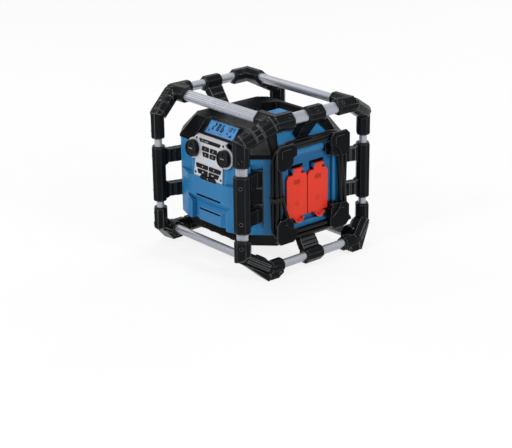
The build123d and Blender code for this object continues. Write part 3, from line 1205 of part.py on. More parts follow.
# ---- cord hooks and cord ------------------------------------------------------------------------
def side_prism(face, x0, x1):
    """Solid over a face drawn in Y and Z, from X0 to X1."""
    return Plane(origin=(x0, 0, 0), x_dir=(0, 1, 0), z_dir=(1, 0, 0)) * extrude(face, x1 - x0)


def hook_flange():
    """Flange of the lower rear hook: cut corners outside, a hollow arc towards the outlets."""
    start, end = (HOOK_NEAR, HOOK_LOW + 28.5), (82.0, HOOK_HIGH)
    run = [end, (HOOK_FAR - 9, HOOK_HIGH), (HOOK_FAR, HOOK_HIGH - 9), (HOOK_FAR, HOOK_LOW + 10),
           (HOOK_FAR - 10, HOOK_LOW), (HOOK_NEAR + 10, HOOK_LOW), (HOOK_NEAR, HOOK_LOW + 10), start]
    outline = Polyline(*run) + ThreePointArc(start, (70.5, HOOK_HIGH - 19.0), end)
    solid = side_prism(make_face(outline), HOOK_X, HOOK_X + HOOK_THICK)
    return chamfer(solid.faces().sort_by(Axis.X)[-1].edges(), 1.0)


def hook():
    """Lower rear cord hook: foot plate in and beside the outlet recess, stem and flange."""
    far_y, far_z = WIND_NEAR - SEAT, WIND_LOW_IN + SEAT
    step_y, step_z = FLAP_WIDE + FLAP_GAP / 2 + 1.0, FLAP_LOW - 1.0
    plate = [(far_y, HOOK_HIGH), (step_y, HOOK_HIGH), (step_y, step_z), (HOOK_NEAR - 1, step_z),
             (HOOK_NEAR - 1, far_z), (far_y - 8, far_z), (far_y, far_z + 8)]
    plate_face = make_face(Polyline(*plate, close=True))
    inner_y, inner_z = OUTLET_HALF - 3.0 - 2 * SEAT, 2 * HOOK_MIRROR - OUTLET_HIGH + 3.0 + 2 * SEAT
    inside = box(OUTLET_FACE_X, BODY_X, 0, inner_y, inner_z, COVER_TOP)
    solid = side_prism(plate_face, OUTLET_FACE_X, BODY_X) & inside
    under_cover = box(0, BODY_X + COVER_LIP + SEAT, 0, 200, 0, 2 * HOOK_MIRROR - SHELL_HIGH + SEAT)
    solid += side_prism(plate_face, BODY_X, HOOK_PLATE_X) - under_cover
    stem = [(far_y, HOOK_HIGH), (HOOK_STEM_NEAR + 12, HOOK_HIGH), (HOOK_STEM_NEAR, HOOK_HIGH - 12),
            (HOOK_STEM_NEAR, far_z), (far_y - 8, far_z), (far_y, far_z + 8)]
    solid += side_prism(make_face(Polyline(*stem, close=True)), HOOK_PLATE_X - 1, HOOK_X)
    solid += hook_flange()
    for y, z in ((HOOK_STEM_NEAR + 9.0, HOOK_HIGH - 5.0), (HOOK_NEAR + 2.5, HOOK_HIGH - 18.0)):
        solid -= Pos(HOOK_PLATE_X - 1.5, y, z) * (Rot(0, 90, 0) * extrude(Circle(1.6), 30))
    return solid


def cord_hooks():
    """Four hooks that the mains cord is wound round."""
    rear = hook()
    lower = rear + mirror(rear, about=Plane.XZ)
    return lower + mirror(lower, about=Plane(origin=(0, 0, HOOK_MIRROR), z_dir=(0, 0, 1)))


def winding():
    """Outer shape of the wound cord: a ring round the four hooks."""
    plane = Plane(origin=(WIND_X0, 0, 0), x_dir=(0, 1, 0), z_dir=(1, 0, 0))
    mid_out, mid_in = (WIND_TOP_OUT + WIND_LOW_OUT) / 2, (WIND_TOP_IN + WIND_LOW_IN) / 2
    outer = Pos(0, mid_out) * RectangleRounded(2 * WIND_FAR, WIND_TOP_OUT - WIND_LOW_OUT, 34)
    inner = Pos(0, mid_in) * RectangleRounded(2 * WIND_NEAR, WIND_TOP_IN - WIND_LOW_IN, 8)
    return plane * extrude(outer - inner, WIND_X1 - WIND_X0)


# The lead leaves its strain relief on the lower front hook and joins the winding's front run.
LEAD_IN = [(165.5, -74.0, FLOOR_TO_MID - 36.0), (165.5, -77.5, FLOOR_TO_MID - 20.0),
           (165.5, -96.0, FLOOR_TO_MID + 10.0)]
# Its other end leaves the winding's lower rear corner for the plug, which rests on the rear cross bar.
LEAD_OUT = [(165.5, 98.0, FLOOR_TO_MID - 93.0), (162.0, 124.0, FLOOR_TO_MID - 98.0),
            (144.0, 144.0, FLOOR_TO_MID - 112.0), (112.0, 144.0, FLOOR_TO_MID - 113.5)]
GLAND_LONG = 14.0
PLUG_LONG, PLUG_R = 34.0, 13.0
CLIP_HALF, CLIP_WALL = 4.5, 1.2  # band round the winding's front run


def lead_path(points):
    """Straight runs joined by tangent arcs, and the radii of the arcs."""
    radii = []
    for before, here, after in zip(points, points[1:], points[2:]):
        a, b = Vector(*before) - Vector(*here), Vector(*after) - Vector(*here)
        turn = radians(180 - a.get_angle(b))
        radii.append(0.45 * min(a.length, b.length) / tan(turn / 2))
    return FilletPolyline(*points, radius=radii), radii


def lead(points):
    """Round cord along a route."""
    path, radii = lead_path(points)
    print("lead arc radii", [round(r, 1) for r in radii])
    tube = sweep(Plane(origin=path @ 0, z_dir=path % 0) * Circle(CORD_R), path)
    print("lead volume over section times length", round(tube.volume / (3.14159265 * CORD_R ** 2 * path.length), 4))
    return tube


def power_cord_lead():
    """The two free stretches of cord, between strain relief, winding and plug."""
    coil = winding()
    return (lead(LEAD_IN) - coil) + (lead(LEAD_OUT) - coil)


def cord_gland():
    """Tapered strain relief on the upper face of the lower front hook."""
    start, nxt = Vector(*LEAD_IN[0]), Vector(*LEAD_IN[1])
    along = (nxt - start).normalized()
    plane = Plane(origin=start - along * (GLAND_LONG + 4), z_dir=along)
    solid = plane * Cone(CORD_R + 2.6, CORD_R + 1.0, GLAND_LONG + 4, align=(Align.CENTER, Align.CENTER, Align.MIN))
    for i in range(3):
        ring = Pos(0, 0, 6.5 + 3.6 * i) * (extrude(Circle(20), 1.2) - extrude(Circle(CORD_R + 1.3 - 0.3 * i), 1.2))
        solid -= plane * ring
    return solid & box(BODY_X, 200, -120, 0, HOOK_HIGH, COVER_TOP)


def cord_clip():
    """Band that holds the turns of the winding's front run together."""
    gap, wall = SEAT, CLIP_WALL
    outer = box(WIND_X0 - gap - wall, WIND_X1 + gap + wall, -WIND_FAR - gap - wall, -WIND_NEAR + gap + wall,
                FLOOR_TO_MID - 2 - CLIP_HALF, FLOOR_TO_MID - 2 + CLIP_HALF)
    inner = box(WIND_X0 - gap, WIND_X1 + gap, -WIND_FAR - gap, -WIND_NEAR + gap, 0, COVER_TOP)
    return chamfer(outer.edges().filter_by(Axis.Z), 2.0) - inner - lead_bore()


def lead_bore():
    """Slot of the clip that the incoming lead passes through."""
    return box(WIND_X0 - 6, WIND_X1 + 6, -WIND_NEAR - 1.0, -70, 0, COVER_TOP) & box(
        165.5 - CORD_R - 1, 165.5 + CORD_R + 1, -WIND_NEAR - 5, -70, 0, COVER_TOP)


def power_plug():
    """Moulded mains plug with two blades."""
    end, before = Vector(*LEAD_OUT[-1]), Vector(*LEAD_OUT[-2])
    along = (end - before).normalized()
    plane = Plane(origin=end, x_dir=(0, 1, 0), z_dir=along)
    boot = Cone(CORD_R + 1.4, PLUG_R * 0.62, 12, align=(Align.CENTER, Align.CENTER, Align.MIN))
    grip = Pos(0, 0, 12) * extrude(RectangleRounded(1.25 * PLUG_R, 2 * PLUG_R, 6), PLUG_LONG - 18)
    grip += Pos(0, 0, PLUG_LONG - 6) * extrude(RectangleRounded(1.4 * PLUG_R, 2.1 * PLUG_R, 6), 6)
    blades = Part()
    for dy in (-6.3, 6.3):
        blades += Pos(0, dy, PLUG_LONG + 8) * Box(6.4, 1.6, 17)
    return plane * (boot + grip + blades)


# ---- inside -------------------------------------------------------------------------------------
def battery_pack():
    """Slide-on battery pack on the shelf behind the door."""
    back = BODY_Y - SKIN - 6.0
    z = SHELL_LOW + 10
    solid = box(-PACK_X / 2, PACK_X / 2, back - PACK_Y, back, z, z + PACK_Z * 0.7)
    return solid + box(-PACK_X / 2 + 8, PACK_X / 2 - 8, back - PACK_Y + 4, back - 4, z + PACK_Z * 0.7, z + PACK_Z)


def main_board():
    """Main circuit board with its large parts, on the base's pillars."""
    z = BASE_LOW + SKIN + 0.0
    solid = box(-116, -52, -60, 70, z + 10, z + 12)
    for x, y in ((-110, -54), (-58, -54), (-110, 64), (-58, 64)):
        solid += Pos(x, y, z) * extrude(Circle(4), 10.5)
    for x, y, high in ((-100, -30, 22), (-80, 10, 16), (-96, 44, 26)):
        solid += Pos(x, y, z + 11.5) * extrude(Circle(9), high)
    return solid


def power_supply():
    """Mains power supply on the base, beside the outlets."""
    z = BASE_LOW + SKIN
    solid = box(66, 120, -80, 40, z, z + 46)
    for i in range(6):
        solid -= box(70, 116, -74 + i * 19, -68 + i * 19, z + 42, z + 47)
    return solid


def subwoofer():
    """Bass driver on the floor of the base, facing down."""
    z = BASE_LOW + SKIN
    solid = Pos(0, -20, z) * extrude(Circle(WOOFER_R), 5)
    solid += Pos(0, -20, z + 5) * Cone(WOOFER_R - 6, 26, WOOFER_DEEP - 17, align=(Align.CENTER, Align.CENTER, Align.MIN))
    return solid + Pos(0, -20, z + WOOFER_DEEP - 12) * extrude(Circle(30), 12)


def case_screws():
    """All screw heads: cage, control panel and slopes."""
    heads = Part()
    for sx, sy in CORNERS.values():
        for point, outward in sleeve_screws(sx, sy) + elbow_screws(sx, sy, True) + elbow_screws(sx, sy, False):
            heads += screw_at(point, outward)[0]
    for sx in (-1, 1):
        for top in (True, False):
            heads += screw_at(*clamp_screw(sx, top))[0]
        for point, outward in slope_screws(sx):
            heads += screw_at(point, outward)[0]
    for point, outward in panel_screws():
        heads += screw_at(point, outward, 1.8)[0]
    return heads


def build():
    """Sub-part name to shape."""
    parts = {"post_tubes": post_tubes(), "side_bars": side_bars(), "cross_bars": cross_bars()}
    for name, (sx, sy) in CORNERS.items():
        parts[f"top_elbow_{name}"] = elbow(sx, sy, True)
        parts[f"bottom_elbow_{name}"] = elbow(sx, sy, False)
        parts[f"post_sleeve_{name}"] = post_sleeve(sx, sy)
    parts["top_clamps"] = pair(top_clamp())
    parts["bottom_clamps"] = bottom_clamps()
    parts["case_screws"] = case_screws()
    parts["housing_shell"] = housing_shell()
    parts["front_fascia"] = front_fascia()
    parts["base_tray"] = base_tray()
    parts["top_cover"] = top_cover()
    parts["slope_fascias"] = slope_fascias()
    parts["utility_block"] = utility_block()
    parts["corner_grilles"] = corner_grilles()
    parts["corner_speakers"] = corner_speakers()
    parts["subwoofer"] = subwoofer()
    parts["display_bezel"] = display_bezel()
    parts["display_lens"] = display_lens()
    parts["lcd_module"] = lcd_module()
    parts["control_panel"] = control_panel()
    parts["switch_board"] = switch_board()
    parts["volume_knob"] = knob(-1)
    parts["tuning_knob"] = knob(1)
    for name, points in button_outlines().items():
        parts[name] = button(points)
    parts["outlet_panel"] = outlet_panel()
    parts["outlet_flap_front"] = outlet_flap(-1)
    parts["outlet_flap_rear"] = outlet_flap(1)
    parts["hinge_pins"] = hinge_pins()
    parts["outlet_sockets"] = outlet_sockets()
    parts["cord_hooks"] = cord_hooks()
    parts["power_cord_winding"] = winding()
    parts["power_cord_lead"] = power_cord_lead()
    parts["cord_gland"] = cord_gland()
    parts["cord_clip"] = cord_clip()
    parts["power_plug"] = power_plug()
    parts["battery_door"] = battery_door()
    parts["battery_pack"] = battery_pack()
    parts["main_board"] = main_board()
    parts["power_supply"] = power_supply()
    return parts


if __name__ == "__main__":
    os.makedirs(PARTS, exist_ok=True)
    for part_name, part_shape in build().items():
        write(part_name, part_shape)
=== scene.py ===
"""Looks of a jobsite radio in a tubular roll cage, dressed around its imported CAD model.

Metres, in the model's own frame: +Z up, the front faces -Y, the mains outlets face +X and the origin
lies on the floor under the middle of the cage.
"""
import json
import logging
import math
from dataclasses import dataclass, field
from enum import Enum
from functools import cache
from itertools import combinations
from typing import Iterator, Optional, Sequence

import bmesh
import bpy
from mathutils import Matrix, Vector
from mathutils.geometry import convex_hull_2d, intersect_point_line


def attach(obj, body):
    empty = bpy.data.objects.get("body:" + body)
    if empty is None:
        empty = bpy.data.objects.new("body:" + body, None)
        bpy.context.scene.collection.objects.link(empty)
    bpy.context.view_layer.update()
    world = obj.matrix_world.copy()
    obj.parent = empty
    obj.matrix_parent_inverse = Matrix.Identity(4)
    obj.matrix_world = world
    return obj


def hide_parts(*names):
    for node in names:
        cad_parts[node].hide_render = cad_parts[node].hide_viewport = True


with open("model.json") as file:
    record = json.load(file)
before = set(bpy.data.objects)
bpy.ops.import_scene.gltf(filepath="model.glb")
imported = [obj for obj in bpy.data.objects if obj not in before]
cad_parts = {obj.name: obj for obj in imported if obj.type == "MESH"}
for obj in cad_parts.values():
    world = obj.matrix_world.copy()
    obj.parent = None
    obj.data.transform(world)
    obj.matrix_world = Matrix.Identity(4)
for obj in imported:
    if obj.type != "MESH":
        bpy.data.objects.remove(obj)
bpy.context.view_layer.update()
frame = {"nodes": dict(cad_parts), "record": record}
log = logging.getLogger("jobsite_radio")

Point = tuple[float, float, float]
Flat = tuple[float, float]
Colour = tuple[float, float, float, float]
Socket = bpy.types.NodeSocket

MM = 0.001
ROOT = "case"  # the body that everything fixed rides on
SLEEVE_MIDDLE = 0.176  # height of the middle of the post sleeves
WELD = 0.002 * MM  # vertices nearer than this are one
TINY = 1e-9  # length under which a cross product gives no direction
ALIKE = 0.5  # least cosine between a triangle and its face, where it lies the right way round
X_AXIS: Point = (1.0, 0.0, 0.0)
Y_AXIS: Point = (0.0, 1.0, 0.0)
WHITE: Colour = (1.0, 1.0, 1.0, 1.0)


class Axis(Enum):
    """Direction that a metal's brush marks run in, as the scale of the noise along X, Y and Z."""
    X = (3.0, 260.0, 260.0)
    Y = (260.0, 3.0, 260.0)
    Z = (260.0, 260.0, 3.0)
    NONE = (500.0, 500.0, 500.0)


class Corner(Enum):
    """Corners of the cage, as the names of the nodes there end."""
    FRONT_LEFT = "front_left"
    FRONT_RIGHT = "front_right"
    REAR_LEFT = "rear_left"
    REAR_RIGHT = "rear_right"


# ---- finishes -----------------------------------------------------------------------------------
def linear(code: str) -> Colour:
    """Linear colour of a hexadecimal sRGB code.

    Args:
        code: Six hexadecimal digits.

    Returns:
        Red, green, blue and a full alpha.
    """
    values = [int(code[i:i + 2], 16) / 255 for i in (0, 2, 4)]
    red, green, blue = (v / 12.92 if v <= 0.04045 else ((v + 0.055) / 1.055) ** 2.4 for v in values)
    return red, green, blue, 1.0


def shaded(colour: Colour, share: float, lift: float = 0.0) -> Colour:
    """A colour made darker or brighter by a share of itself, and then paler by a lift."""
    red, green, blue = (min(1.0, c * share + lift) for c in colour[:3])
    return red, green, blue, 1.0


class Nodes:
    """Nodes of one tree, added and joined one by one."""

    def __init__(self, tree: bpy.types.NodeTree) -> None:
        """Start with an empty tree."""
        self.tree = tree
        tree.nodes.clear()

    def put(self, socket: Socket, value: object) -> None:
        """Give an input a value, or join another node's output to it.

        Args:
            socket: The input.
            value: The value, or the other node's output.
        """
        if isinstance(value, bpy.types.NodeSocket):
            self.tree.links.new(value, socket)
        else:
            socket.default_value = value

    def feed(self, node: bpy.types.Node, **inputs: object) -> None:
        """Set or join some inputs of a node; an underscore in a name stands for a blank."""
        for name, value in inputs.items():
            self.put(node.inputs[name.replace("_", " ")], value)

    def add(self, kind: str, **inputs: object) -> bpy.types.Node:
        """Add a node.

        Args:
            kind: Its kind.
            inputs: What some of its inputs are set or joined to.

        Returns:
            The node.
        """
        node = self.tree.nodes.new(kind)
        self.feed(node, **inputs)
        return node

    def maths(self, operation: str, first: Socket, second: Socket, kind: str = "ShaderNodeMath") -> Socket:
        """An operation on two values.

        Args:
            operation: Its name.
            first: The first value.
            second: The second value.
            kind: Kind of the node that does it.

        Returns:
            The result.
        """
        node = self.add(kind)
        node.operation = operation
        self.put(node.inputs[0], first)
        self.put(node.inputs[1], second)
        return node.outputs["Value"]

    def seen_by(self, *rays: str) -> Socket:
        """Which rays are of one of some kinds.

        Args:
            rays: The kinds.

        Returns:
            1 for a ray of these kinds, and 0 for any other.
        """
        path = self.add("ShaderNodeLightPath")
        seen, *others = (path.outputs[f"Is {ray} Ray"] for ray in rays)
        for other in others:
            seen = self.maths("MAXIMUM", seen, other)
        return seen

    def blended(self, share: Socket, first: Socket, second: Socket) -> Socket:
        """Blend of two shaders.

        Args:
            share: Share of the second one.
            first: The first shader.
            second: The second shader.

        Returns:
            The blend.
        """
        node = self.add("ShaderNodeMixShader")
        for socket, value in zip(node.inputs, (share, first, second)):
            self.put(socket, value)
        return node.outputs[0]


@dataclass(frozen=True)
class Patches:
    """Soft patches of noise."""
    scale: float  # cells per metre
    detail: float  # octaves of finer noise
    low: float = 0.3  # noise where the first kind of patch is full
    high: float = 0.7  # noise where the second kind is full


MOTTLE = Patches(scale=3.0, detail=2.0)
SHADES = Patches(scale=14.0, detail=4.0)
SMEARS = Patches(scale=55.0, detail=6.0)
# patches of the paler edges of mouldings, partly wear and partly painted highlight
SCUFFS_AND_HIGHLIGHTS = Patches(scale=160.0, detail=5.0, low=0.42, high=0.62)
SMUDGES = Patches(scale=30.0, detail=5.0, low=0.35, high=0.7)
CLOUDS = Patches(scale=22.0, detail=2.0)
SHEEN = Patches(scale=400.0, detail=2.0)
DUST = Patches(scale=240.0, detail=5.0, low=0.45, high=0.8)


class Graph(Nodes):
    """Nodes of one material, round its Principled shader."""
    bevel_samples: int = 6
    shade_samples: int = 16
    edge_cosines: Flat = (0.998, 0.94)  # of the turn at which an edge's mask starts, and is full
    open_range: Flat = (0.25, 0.95)  # openness that counts as closed, and as fully open

    def __init__(self, name: str) -> None:
        """Start a material that holds the shader and its output.

        Args:
            name: Name of the material.
        """
        self.material = bpy.data.materials.new(name)
        self.material.use_nodes = True
        super().__init__(self.material.node_tree)
        self.shader = self.add("ShaderNodeBsdfPrincipled")
        self.output = self.add("ShaderNodeOutputMaterial", Surface=self.shader.outputs[0])
        self.place = self.add("ShaderNodeTexCoord").outputs["Object"]

    def set(self, **inputs: object) -> None:
        """Set or join some of the shader's own inputs."""
        self.feed(self.shader, **inputs)

    def noise(self, scale: float, detail: float, stretch: Optional[Sequence[float]] = None) -> Socket:
        """Noise over the object's own coordinates.

        Args:
            scale: Cells per metre.
            detail: Octaves of finer noise.
            stretch: Scale along X, Y and Z, where the marks run one way.

        Returns:
            The noise's value.
        """
        place = self.place
        if stretch is not None:
            place = self.add("ShaderNodeMapping", Scale=stretch, Vector=place).outputs["Vector"]
        return self.add("ShaderNodeTexNoise", Scale=scale, Detail=detail, Vector=place).outputs["Fac"]

    def ranged(self, value: Socket, low: float, high: float, to_low: float = 0.0,
               to_high: float = 1.0) -> Socket:
        """A value carried from one range to another, and held at its ends."""
        return self.add("ShaderNodeMapRange", Value=value, From_Min=low, From_Max=high, To_Min=to_low,
                        To_Max=to_high).outputs["Result"]

    def patches(self, kind: Patches, to_low: float = 0.0, to_high: float = 1.0) -> Socket:
        """A value that differs between one kind of patch and the other."""
        return self.ranged(self.noise(kind.scale, kind.detail), kind.low, kind.high, to_low, to_high)

    def mixed(self, share: Socket, first: object, second: object) -> Socket:
        """Blend of two colours.

        Args:
            share: Share of the second one.
            first: The first colour, or another node's output.
            second: The second colour, or another node's output.

        Returns:
            The blend.
        """
        node = self.add("ShaderNodeMix")
        node.data_type = "RGBA"
        for index, value in ((0, share), (6, first), (7, second)):  # the places of a colour blend's inputs
            self.put(node.inputs[index], value)
        return node.outputs[2]

    def edges(self, radius: float) -> tuple[Socket, Socket]:
        """Normal rounded over sharp edges, and a mask of where it turns away from the flat one.

        Args:
            radius: Radius of the rounding.

        Returns:
            The rounded normal and the mask.
        """
        bevel = self.add("ShaderNodeBevel", Radius=radius)
        bevel.samples = self.bevel_samples
        rounded, flat = bevel.outputs["Normal"], self.add("ShaderNodeNewGeometry").outputs["Normal"]
        cosine = self.maths("DOT_PRODUCT", rounded, flat, "ShaderNodeVectorMath")
        return rounded, self.ranged(cosine, *self.edge_cosines)

    def crevices(self, distance: float) -> Socket:
        """How open a place is: 1 on open faces, less in grooves and inner corners.

        Args:
            distance: How far from a place its neighbours are felt.

        Returns:
            The openness.
        """
        node = self.add("ShaderNodeAmbientOcclusion", Distance=distance)
        node.samples = self.shade_samples
        return self.ranged(node.outputs["AO"], *self.open_range)

    def bump(self, height: Socket, depth: float, strength: float, **normal: Socket) -> None:
        """Bump the shader's normal by a height, on top of another normal if one is given."""
        node = self.add("ShaderNodeBump", Strength=strength, Distance=depth, Height=height, **normal)
        self.set(Normal=node.outputs["Normal"])


@dataclass(frozen=True)
class Moulded:
    """Moulded plastic or rubber: grained, a little uneven in shade, painted darker in its grooves as shade,
    and paler and smoother on worn edges, where the paler colour is partly wear and partly a painted
    highlight.
    """
    name: str
    colour: str
    roughness: float = 0.45
    gloss: float = 0.4
    grain: float = 0.45 * MM
    grain_depth: float = 0.03 * MM
    unevenness: float = 0.07
    edge: float = 0.8 * MM
    wear: float = 0.30
    lift: float = 0.02  # how much paler a worn edge gets after it is brightened, partly as a painted highlight
    groove: float = 5.0 * MM  # reach of the painted shade in grooves and inner corners
    edge_ior: float = 1.5  # index of the polish on edges that are rubbed smooth
    polish: float = 0.22  # roughness of that polish
    edge_shade: float = 1.5  # share of the colour on worn edges, brighter from wear and as a painted highlight
    groove_shade: float = 0.38  # share of the colour left in grooves, a painted shade
    least_wear: float = 0.15
    spread: Flat = (-0.05, 0.07)  # of the roughness between smears
    relief: float = 0.5  # strength of the grain's bump

    def build(self) -> bpy.types.Material:
        """Make the material.

        Returns:
            Material of this plastic.
        """
        graph = Graph(self.name)
        colour = linear(self.colour)
        base = graph.mixed(graph.patches(SHADES), shaded(colour, 1 - self.unevenness),
                           shaded(colour, 1 + self.unevenness))
        _, mask = graph.edges(self.edge)
        # painted shade: the colour darkens where a place is closed in, in grooves and inner corners; the edge
        # mask fades there too
        if self.groove:
            openness = graph.crevices(self.groove)
            base = graph.mixed(openness, shaded(colour, self.groove_shade), base)
            mask = graph.maths("MULTIPLY", mask, openness)
        # paler edges in patches: partly wear, partly a painted highlight
        worn_and_highlit = graph.maths("MULTIPLY", mask, graph.patches(SCUFFS_AND_HIGHLIGHTS, self.least_wear, self.wear))
        smeared = graph.patches(SMEARS, *(self.roughness + change for change in self.spread))
        graph.set(Base_Color=graph.mixed(worn_and_highlit, base, shaded(colour, self.edge_shade, self.lift)),
                  Roughness=smeared, Specular_IOR_Level=self.gloss, Coat_Weight=mask, Coat_IOR=self.edge_ior,
                  Coat_Roughness=self.polish)
        graph.bump(graph.noise(scale=1 / self.grain, detail=2.0), self.grain_depth, self.relief)
        return graph.material


@dataclass(frozen=True)
class Metal:
    """Bare or anodised metal with fine marks that run one way, and painted shade in its grooves."""
    name: str
    colour: str
    roughness: float = 0.3
    along: Axis = Axis.NONE
    metallic: float = 1.0
    mark_depth: float = 0.012 * MM
    edge: float = 0.4 * MM
    groove: float = 3.0 * MM
    contrast: float = 0.08  # share by which the marks darken and brighten the metal
    gloss: float = 0.5
    edge_shade: float = 1.2  # share of the colour on edges
    edge_share: float = 0.4  # how far an edge takes that colour
    groove_shade: float = 0.22  # share of the colour left in grooves, a painted shade
    spread: Flat = (-0.05, 0.10)  # of the roughness between smudges
    relief: float = 0.12  # strength of the marks' bump

    def build(self) -> bpy.types.Material:
        """Make the material.

        Returns:
            Material of this metal.
        """
        graph = Graph(self.name)
        colour = linear(self.colour)
        marks = graph.noise(scale=1.0, detail=4.0, stretch=self.along.value)
        tone = graph.mixed(graph.ranged(marks, 0.3, 0.7), shaded(colour, 1 - self.contrast),
                           shaded(colour, 1 + self.contrast))
        # painted shade: grooves and flutes take a darker colour where they are closed in
        if self.groove:
            tone = graph.mixed(graph.crevices(self.groove), shaded(colour, self.groove_shade), tone)
        if self.edge:
            normal, mask = graph.edges(self.edge)
            share = graph.ranged(mask, 0.0, 1.0, 0.0, self.edge_share)
            tone = graph.mixed(share, tone, shaded(colour, self.edge_shade))
            graph.bump(marks, self.mark_depth, self.relief, Normal=normal)
        smudged = graph.patches(SMUDGES, *(self.roughness + change for change in self.spread))
        graph.set(Base_Color=tone, Roughness=smudged, Metallic=self.metallic, Specular_IOR_Level=self.gloss)
        return graph.material


@dataclass(frozen=True)
class Backlit:
    """Display glass lit from behind, a little cloudy."""
    name: str
    colour: str
    glow: float
    cloud: Flat = (0.90, 1.08)  # shares of the colour between clouds
    roughness: Flat = (0.32, 0.42)

    def build(self) -> bpy.types.Material:
        """Make the material.

        Returns:
            Material of the lit glass.
        """
        graph = Graph(self.name)
        dim, bright = (shaded(linear(self.colour), share) for share in self.cloud)
        tone = graph.mixed(graph.patches(CLOUDS), dim, bright)
        graph.set(Base_Color=tone, Emission_Color=tone, Emission_Strength=self.glow,
                  Roughness=graph.patches(SHEEN, *self.roughness))
        return graph.material


@dataclass(frozen=True)
class ClearWindow:
    """Clear window with faint dust."""
    name: str
    colour: str
    veil: float  # share of what lies behind it that the window hides
    roughness: Flat = (0.05, 0.22)
    gloss: float = 0.5

    def build(self) -> bpy.types.Material:
        """Make the material.

        Returns:
            Material of the window.
        """
        graph = Graph(self.name)
        graph.set(Base_Color=linear(self.colour), Alpha=self.veil, Specular_IOR_Level=self.gloss,
                  Roughness=graph.patches(DUST, *self.roughness))
        return graph.material


Finish = Moulded | Metal | Backlit | ClearWindow
FINISHES: dict[str, Finish] = {  # by the record's material slot, then those of some pieces of a slot
    "cage_rubber": Moulded("cage_rubber", "17191B", roughness=0.20, gloss=0.028, grain=0.55 * MM,
                           grain_depth=0.005 * MM, unevenness=0.10, edge=2.8 * MM, wear=0.8, lift=0.02,
                           edge_ior=2.1),
    "case_blue": Moulded("case_blue", "2B79AE", roughness=0.36, gloss=0.18, grain=0.40 * MM,
                         grain_depth=0.012 * MM, unevenness=0.05, edge=1.6 * MM, wear=0.50, lift=0.05,
                         edge_ior=1.75),
    "case_black": Moulded("case_black", "141517", roughness=0.24, gloss=0.022, grain=0.40 * MM,
                          grain_depth=0.006 * MM, unevenness=0.08, edge=1.8 * MM, wear=0.70, lift=0.03,
                          edge_ior=1.75),
    "grille_black": Metal("grille_lacquer", "151618", roughness=0.50, along=Axis.NONE, metallic=0.1),
    # near-black screw heads: blackened, and darkened further as painted shade of the holes they sit in
    "screw_steel": Metal("blackened_screw", "0A0B0C", roughness=0.5, along=Axis.NONE, metallic=0.0, edge=0.0,
                         gloss=0.06),
    "pin_steel": Metal("ground_pin", "A6A8AC", roughness=0.28, along=Axis.Z),
    "panel_silver": Metal("panel_silver", "C9CACE", roughness=0.36, along=Axis.X, metallic=0.30,
                          mark_depth=0.004 * MM, edge=0.5 * MM),
    "knob_black": Moulded("knob_black", "101112", roughness=0.26, gloss=0.09, grain=0.35 * MM,
                          grain_depth=0.008 * MM, unevenness=0.06, edge=0.6 * MM, wear=0.5, lift=0.03),
    "button_black": Moulded("button_black", "08090B", roughness=0.32, gloss=0.10, grain=0.30 * MM,
                            grain_depth=0.01 * MM, unevenness=0.05, edge=0.4 * MM, wear=0.4, lift=0.03),
    "display_blue": Backlit("display_blue", "3480BE", glow=0.20),
    "lens_clear": ClearWindow("lens_clear", "1B3550", veil=0.05),
    "board_green": Moulded("board_green", "1D5A38", roughness=0.35, gloss=0.5, grain=0.8 * MM,
                           grain_depth=0.02 * MM),
    "flap_red": Moulded("flap_red", "E03A26", roughness=0.36, gloss=0.16, grain=0.35 * MM,
                        grain_depth=0.012 * MM, unevenness=0.04, edge=0.6 * MM, wear=0.30, lift=0.05),
    "socket_grey": Moulded("socket_grey", "6B6D70", roughness=0.45),
    "cord_black": Moulded("cord_black", "0C0D0F", roughness=0.15, gloss=0.16, grain=0.9 * MM,
                          grain_depth=0.003 * MM, unevenness=0.10, edge=0.3 * MM),
    "blade_plug": Moulded("plug_black", "0D0E0F", roughness=0.42, gloss=0.20),
    "pack_black": Moulded("pack_black", "1C1D20", roughness=0.5),
    "supply_metal": Metal("supply_metal", "9C9EA2", roughness=0.40, along=Axis.Y),
    "speaker_black": Moulded("speaker_black", "0D0E0F", roughness=0.6, gloss=0.15),
    # the bars' flutes take painted shade through their groove reach
    **{f"bar_along_{axis.name}": Metal(f"anodised_bar_{axis.name}", "A6A9B1", roughness=0.30, along=axis,
                                       metallic=0.45, mark_depth=0.0, edge=0.0, groove=1.8 * MM,
                                       contrast=0.03)
       for axis in (Axis.X, Axis.Y, Axis.Z)},
    # the case blue darkened as painted shade, for the outlet panel deep in its recess
    "recess_blue": Moulded("recess_blue", "1F608F", roughness=0.36, gloss=0.12, grain=0.40 * MM,
                           grain_depth=0.012 * MM, unevenness=0.05, edge=1.6 * MM, wear=0.50, lift=0.05,
                           edge_ior=1.75),
    "mark_grey": Moulded("mark_grey", "B9BCC0", roughness=0.5, gloss=0.2, edge=0.1 * MM, wear=0.0),
    "mark_blue": Backlit("mark_blue", "6FB4E6", glow=0.45),
    "mark_red": Moulded("mark_red", "8E2118", roughness=0.5, gloss=0.2, edge=0.1 * MM, wear=0.0),
    # near black: the gauze in the ports, and painted shade behind the hinges and round the panel's screws
    "port_gauze": Moulded("port_gauze", "050506", roughness=0.7, gloss=0.05, edge=0.1 * MM, wear=0.0),
    "display_ink": Moulded("display_ink", "02070E", roughness=0.6, gloss=0.0, edge=0.05 * MM, wear=0.0,
                           groove=0.0),
}


@cache
def material(finish: str) -> bpy.types.Material:
    """Material of a finish, built when it is first asked for."""
    return FINISHES[finish].build()


